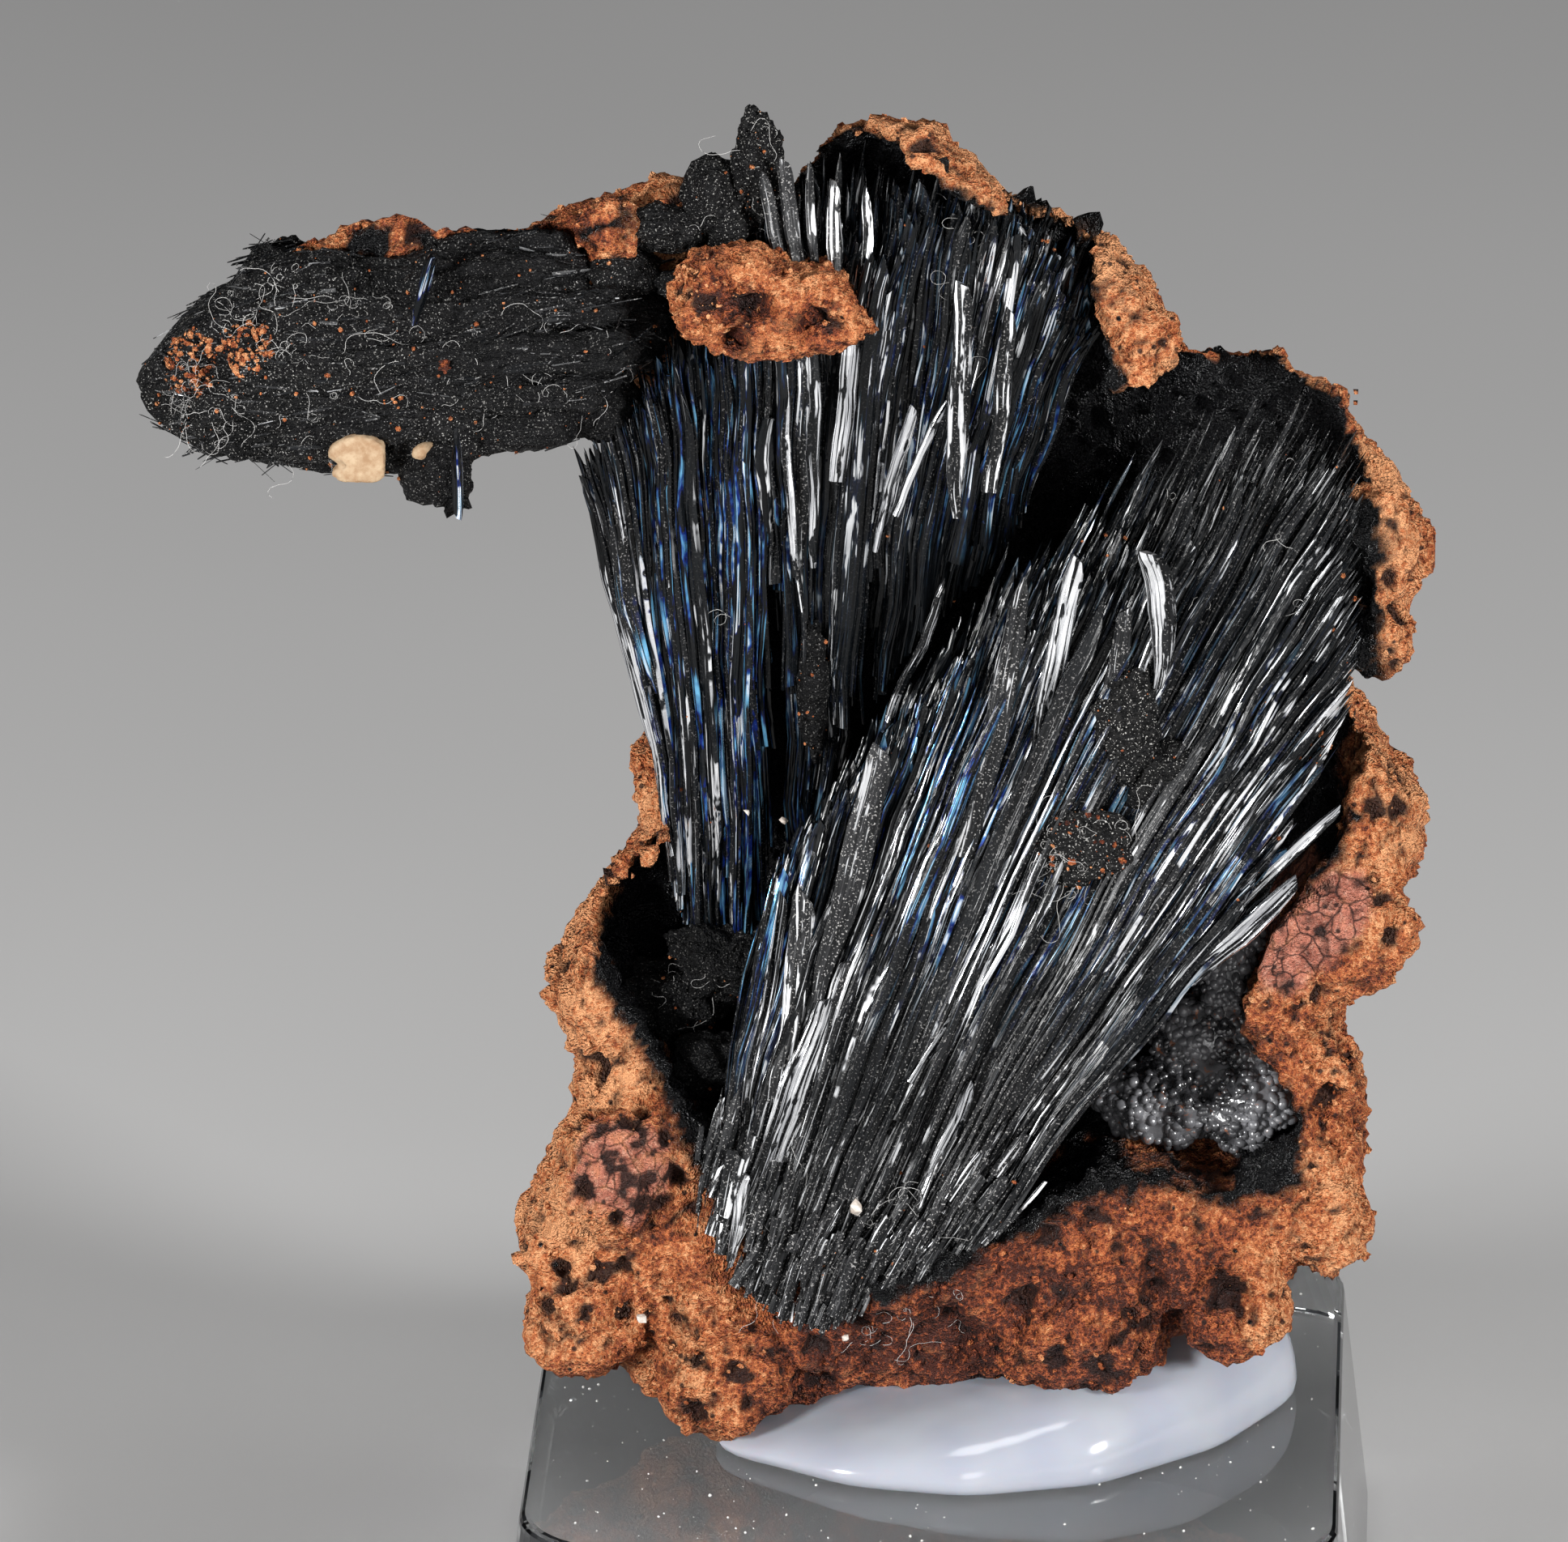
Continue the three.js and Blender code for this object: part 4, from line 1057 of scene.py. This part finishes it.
def pale_chip(finish):
    """The beige flake, round on its left with a bite out of it and straight on its right, and a shard."""
    low, high = (np.array(corner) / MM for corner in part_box("pale_chip"))
    middle, half = (low + high) / 2, (high - low) / 2
    bm = bmesh.new()
    bmesh.ops.create_icosphere(bm, subdivisions=4, radius=1)
    for v in bm.verts:
        x, y, z = v.co
        bite = math.exp(-(((x + 0.85) / 0.3) ** 2) - ((z + 0.15) / 0.22) ** 2)
        x = min(x * 1.25 + 0.55 * bite, 0.98)
        z = max(z * 1.15, -0.92)
        y = math.copysign(abs(y) ** 0.35, y) * 0.96
        shake = 0.05 * noise.noise(v.co * 6)
        v.co = Vector([m + h * (a + shake) for m, h, a in zip(middle, half, (x, y, z))]) * MM
    shard = bmesh.ops.create_icosphere(bm, subdivisions=2, radius=1)["verts"]
    for v in shard:
        v.co = Vector((-19.9 + v.co.x * 0.5, -3.9 + v.co.y * 0.3, 50.9 + v.co.z * 0.36 + v.co.x * 0.12)) * MM
    return piece("pale_flake", mesh_from(bm, "pale_flake"), finish, "pale_shell", "pale_chip")


# Place and size of each grain
WHITE_GRAINS = [
    ((-7.5, -2.4, 35.6), 0.14), ((-6.1, -2.2, 35.2), 0.14), ((-3, -7.3, 21), 0.34),
    ((-11.4, -7.9, 16.4), 0.22), ((5.6, -5.6, 36), 0.16), ((-3.4, -8.3, 15.9), 0.16),
    ((13.4, -5.4, 20.2), 0.14),
]


def white_grains(finish):
    """Single pale grains and flakes that have lodged on the crystals and the rock."""
    rng = random.Random(19)
    shapes = crumb_templates()
    parts = [grain(rng.choice(shapes), place, size, rng) for place, size in WHITE_GRAINS]
    return piece("white_grains", joined_mesh("white_grains", parts, smooth=False), finish, "pale_shell")


def lint_fibre(start, length, thickness, rng):
    """A fine curly fibre: a three-sided tube along a wandering path that stays near the surface."""
    steps = 18
    points, ring = [], [(math.cos(a), math.sin(a)) for a in (0, 2.1, 4.2)]
    at = np.array(start, float)
    angle, curl = rng.uniform(0, math.tau), rng.gauss(0, 0.45)
    for _ in range(steps):
        heading = Vector((math.cos(angle), rng.gauss(-0.02, 0.12), math.sin(angle))).normalized()
        side = heading.orthogonal().normalized()
        other = heading.cross(side)
        points += [at + thickness * (np.array(side) * c + np.array(other) * s) for c, s in ring]
        at = at + np.array(heading) * length / steps
        angle += curl
        curl = 0.85 * curl + rng.gauss(0, 0.28)
    faces = []
    for k in range(steps - 1):
        for j in range(3):
            a, b = 3 * k + j, 3 * k + (j + 1) % 3
            faces.append([a, b, b + 3, a + 3])
    faces += [[2, 1, 0], [3 * steps - 3, 3 * steps - 2, 3 * steps - 1]]
    points = np.array(points)
    return points, faces, points[:, :2], (0, 0, 0)


def lint(finish, *places):
    """Curly lint in tufts."""
    rng = random.Random(16)
    fibres = []
    for face in faces_near(places, -0.3, rng):
        start = np.array(face.center + face.normal * 0.06 * MM) / MM
        fibres.append(lint_fibre(start, rng.uniform(0.9, 3.4), 0.008, rng))
    return piece("lint", joined_mesh("lint", fibres, smooth=True), finish, "mounting_putty")


def rust_dust(finish, *objects):
    """Orange crumbs that have fallen on the crystals."""
    rng = random.Random(17)
    shape = ball_template(1)
    parts = []
    for obj, count in objects:
        in_front = scatter_points(obj.data, count, rng, lambda p: p.normal.y < -0.1 and p.center.x > -31 * MM)
        for spot, normal in in_front:
            parts.append(grain(shape, spot + normal * 0.03, 0.025 + 0.1 * rng.random() ** 3, rng))
    mesh = joined_mesh("rust_dust", parts, smooth=False)
    store(mesh, "relief_shading", np.full(len(mesh.vertices), 0.6))
    store(mesh, "hue", np.full(len(mesh.vertices), 0.6))
    return piece("rust_dust", mesh, finish, "ironstone")


# Putty and base


# The pad's outline seen from above, and the base's measures, in millimetres
PUTTY_OUTLINE = [
    (-8.7, -6.8), (-6.2, -8), (-3.4, -9.8), (1.4, -10.6), (6.6, -9.2), (11.4, -5.2), (14.4, 0),
    (13.8, 4.6), (9.5, 7.8), (2, 8.6), (-5, 6.8), (-8.6, 1),
]
BASE_SIDE = 32
BASE_HEIGHT = 10
BASE_CORNER = 4
BASE_EDGE = 0.4
BASE_LEAN_DEGREES = 6


def mounting_putty(finish):
    """A pressed pad: flat below, bulging out in front, rising under the rock's raised right side."""
    closed = np.array(PUTTY_OUTLINE + PUTTY_OUTLINE[:1], float)
    angles = np.unwrap(np.arctan2(closed[:, 1] + 1, closed[:, 0] - 2.6))
    bm = bmesh.new()
    bmesh.ops.create_uvsphere(bm, u_segments=96, v_segments=40, radius=1)
    for v in bm.verts:
        angle = math.atan2(v.co.y, v.co.x)
        while angle < angles[0]:
            angle += math.tau
        edge_x = np.interp(angle, angles, closed[:, 0]) - 2.6
        edge_y = np.interp(angle, angles, closed[:, 1]) + 1
        spread = math.hypot(v.co.x, v.co.y) ** 0.55
        x, y = 2.6 + edge_x * spread, -1 + edge_y * spread
        height = np.interp(x, (-8.6, 2, 9, 14.4), (1.2, 2.9, 4.4, 5.0))
        rise = max(v.co.z, 0) ** 0.8
        rim = 0.35 * (1 - rise) if v.co.z > -0.2 else 0
        v.co = Vector((x, y, BASE_HEIGHT + 0.06 + height * rise + rim)) * MM
    for _ in range(6):
        bmesh.ops.smooth_vert(
            bm, verts=bm.verts, factor=0.5, use_axis_x=True, use_axis_y=True, use_axis_z=True
        )
    bmesh.ops.recalc_face_normals(bm, faces=bm.faces)
    return piece("putty_pad", mesh_from(bm, "putty_pad"), finish, "mounting_putty", "mounting_putty")


def display_base(finish):
    """The polished clear block, rounded at its corners and along its edges."""
    bm = bmesh.new()
    bmesh.ops.create_cube(bm, size=1)
    bmesh.ops.scale(bm, verts=bm.verts, vec=(BASE_SIDE * MM, BASE_SIDE * MM, BASE_HEIGHT * MM))
    bmesh.ops.translate(bm, verts=bm.verts, vec=(0, 0, BASE_HEIGHT * MM / 2))

    def rounded(wanted, radius, segments):
        edges = [e for e in bm.edges if wanted(abs(e.verts[0].co.z - e.verts[1].co.z))]
        bmesh.ops.bevel(
            bm, geom=edges, offset=radius * MM, segments=segments, profile=0.5, affect="EDGES", material=-1
        )

    rounded(lambda rise: rise > 1 * MM, BASE_CORNER, 12)
    for v in bm.verts:
        leaned = (BASE_HEIGHT * MM - v.co.z) * math.tan(math.radians(BASE_LEAN_DEGREES))
        wider = 1 + leaned / (BASE_SIDE / 2 * MM)
        v.co.x *= wider
        v.co.y *= wider
    rounded(lambda rise: rise < 0.1 * MM, BASE_EDGE, 4)
    mesh = mesh_from(bm, "clear_base", smooth=False)
    return piece("clear_base", mesh, finish, "clear_acrylic", "acrylic_base")


def base_dust(finish):
    """Fine white specks on the base's top."""
    rng = random.Random(18)
    shape = ball_template(1)
    parts = []
    for _ in range(420):
        x, y = rng.uniform(-15, 15), rng.uniform(-15.4, 15)
        parts.append(grain(shape, (x, y, BASE_HEIGHT + 0.02), 0.02 + 0.05 * rng.random() ** 2, rng))
    return piece("base_dust", joined_mesh("base_dust", parts, smooth=False), finish, "mounting_putty")


# Making


rock_finish = ironstone_finish()
blade_finish = vivianite_finish()
wing_finish = dusty_black_finish()
crust_finish = black_crust_finish()
lint_finish = plain_finish("white lint", (0.56, 0.55, 0.53), 0.7, (0.42, 0.41, 0.4))

rock = ironstone_matrix(rock_finish)
ironstone_crumbs(rock, rock_finish)
brow = brow_crust(rock_finish)
right_blades, left_blades = vivianite_sprays(blade_finish)
wing = wing_body(wing_finish)
wing_draws = random.Random(14)
wing_fibres(wing, blade_finish, wing_draws)
wing_needles(blade_finish, wing_draws)
masses = dusty_masses(wing_finish)
pocket = botryoidal_crust(crust_finish)
pale_chip(plain_finish("pale flake", (0.36, 0.26, 0.16), 0.75, (0.24, 0.14, 0.07), 0.4))
ironstone_patches(
    rock_finish,
    (wing, (-29.5, -3, 54), 1.6, 260),
    (wing, (-27, -3.6, 55), 1.3, 200),
    (brow, (-6, -5, 57), 5, 500),
    (right_blades, (13.4, -2.6, 40.2), 0.9, 70),
    (right_blades, (14.4, -2.6, 38.8), 0.9, 70),
    (wing, (-19, -4.6, 54.4), 0.5, 30),
    (masses, (5.6, -5.8, 35.4), 2, 70),
    (pocket, (11.4, -3, 28.4), 1.2, 110),
    (pocket, (10, -4, 22.6), 0.7, 30),
)
rust_dust(rock_finish, (left_blades, 700), (right_blades, 900), (wing, 260), (masses, 130))
lint(
    lint_finish,
    (wing, (-29, -4, 52.4), 2.0, 36),
    (wing, (-26.4, -3.6, 56.4), 2.2, 34),
    (wing, (-22.6, -4, 56), 1.8, 12),
    (wing, (-18, -4, 54), 3, 10),
    (wing, (-24, -4, 51), 3, 8),
    (wing, (-14, -3, 54), 3, 8),
    (masses, (5.6, -5, 35.6), 2, 30),
    (right_blades, (5, -5, 36), 3, 14),
    (right_blades, (12, -3, 48), 4, 12),
    (right_blades, (-3, -7, 18), 4, 40),
    (left_blades, (-2, -2, 57), 5, 22),
    (left_blades, (-7, -2, 40), 6, 10),
    (rock, (-2, -8, 16), 3.5, 22),
    (masses, (-9.8, -1.6, 27.4), 2, 10),
    (masses, (-8, -1.4, 61), 3, 10),
)
mounting_putty(putty_finish())
display_base(acrylic_finish())
base_dust(lint_finish)
white_grains(plain_finish("white grains", (0.5, 0.46, 0.42), 0.7, (0.36, 0.3, 0.25), 0.2))


# Studio


def area_light(name, at_mm, aim_mm, size_mm, watts):
    data = bpy.data.lights.new(name, "AREA")
    data.size = size_mm * MM
    data.energy = watts
    light = bpy.data.objects.new(name, data)
    light.location = Vector(at_mm) * MM
    light.rotation_euler = (Vector(aim_mm) - Vector(at_mm)).to_track_quat("-Z", "Y").to_euler()
    bpy.context.scene.collection.objects.link(light)


def floor_finish():
    f = Finish("pale floor")
    f.two_colours(60, (0.5, 0.495, 0.49), (0.52, 0.515, 0.51), detail=1, low=0.3)
    f.set(Roughness=0.8)
    return f.material


def studio():
    bm = bmesh.new()
    bmesh.ops.create_grid(bm, x_segments=1, y_segments=1, size=2.5)
    floor = bpy.data.objects.new("floor", mesh_from(bm, "floor"))
    floor.data.transform(Matrix.Translation((0, 0, -0.05 * MM)))
    floor.data.materials.append(floor_finish())
    bpy.context.scene.collection.objects.link(floor)
    area_light("left softbox", (-340, -320, 120), (-4, 0, 38), 80, 3.4)
    area_light("right softbox", (360, -270, 150), (4, 0, 36), 80, 3.2)
    area_light("top softbox", (-20, -60, 460), (0, 0, 30), 150, 0.5)
    area_light("front fill", (60, -520, 120), (0, 0, 32), 160, 0.4)
    world = bpy.data.worlds.new("studio")
    world.use_nodes = True
    background = world.node_tree.nodes["Background"].inputs
    background["Color"].default_value = (0.9, 0.93, 1, 1)
    background["Strength"].default_value = 0.035
    bpy.context.scene.world = world
    bpy.context.scene.view_settings.view_transform = "Standard"


def photo_camera():
    """2.6 degrees right of the front and 21 degrees above, with a long lens."""
    data = bpy.data.cameras.new("photo")
    data.sensor_width = 36
    data.lens = 339.8
    data.clip_start = 0.01
    data.clip_end = 20
    camera = bpy.data.objects.new("photo", data)
    camera.location = Vector((18.322, -540.367, 243.691)) * MM
    aim = Vector((-6.177, 0, 36.419)) * MM
    camera.rotation_euler = (aim - camera.location).to_track_quat("-Z", "Y").to_euler()
    bpy.context.scene.collection.objects.link(camera)
    bpy.context.scene.camera = camera


studio()
photo_camera()
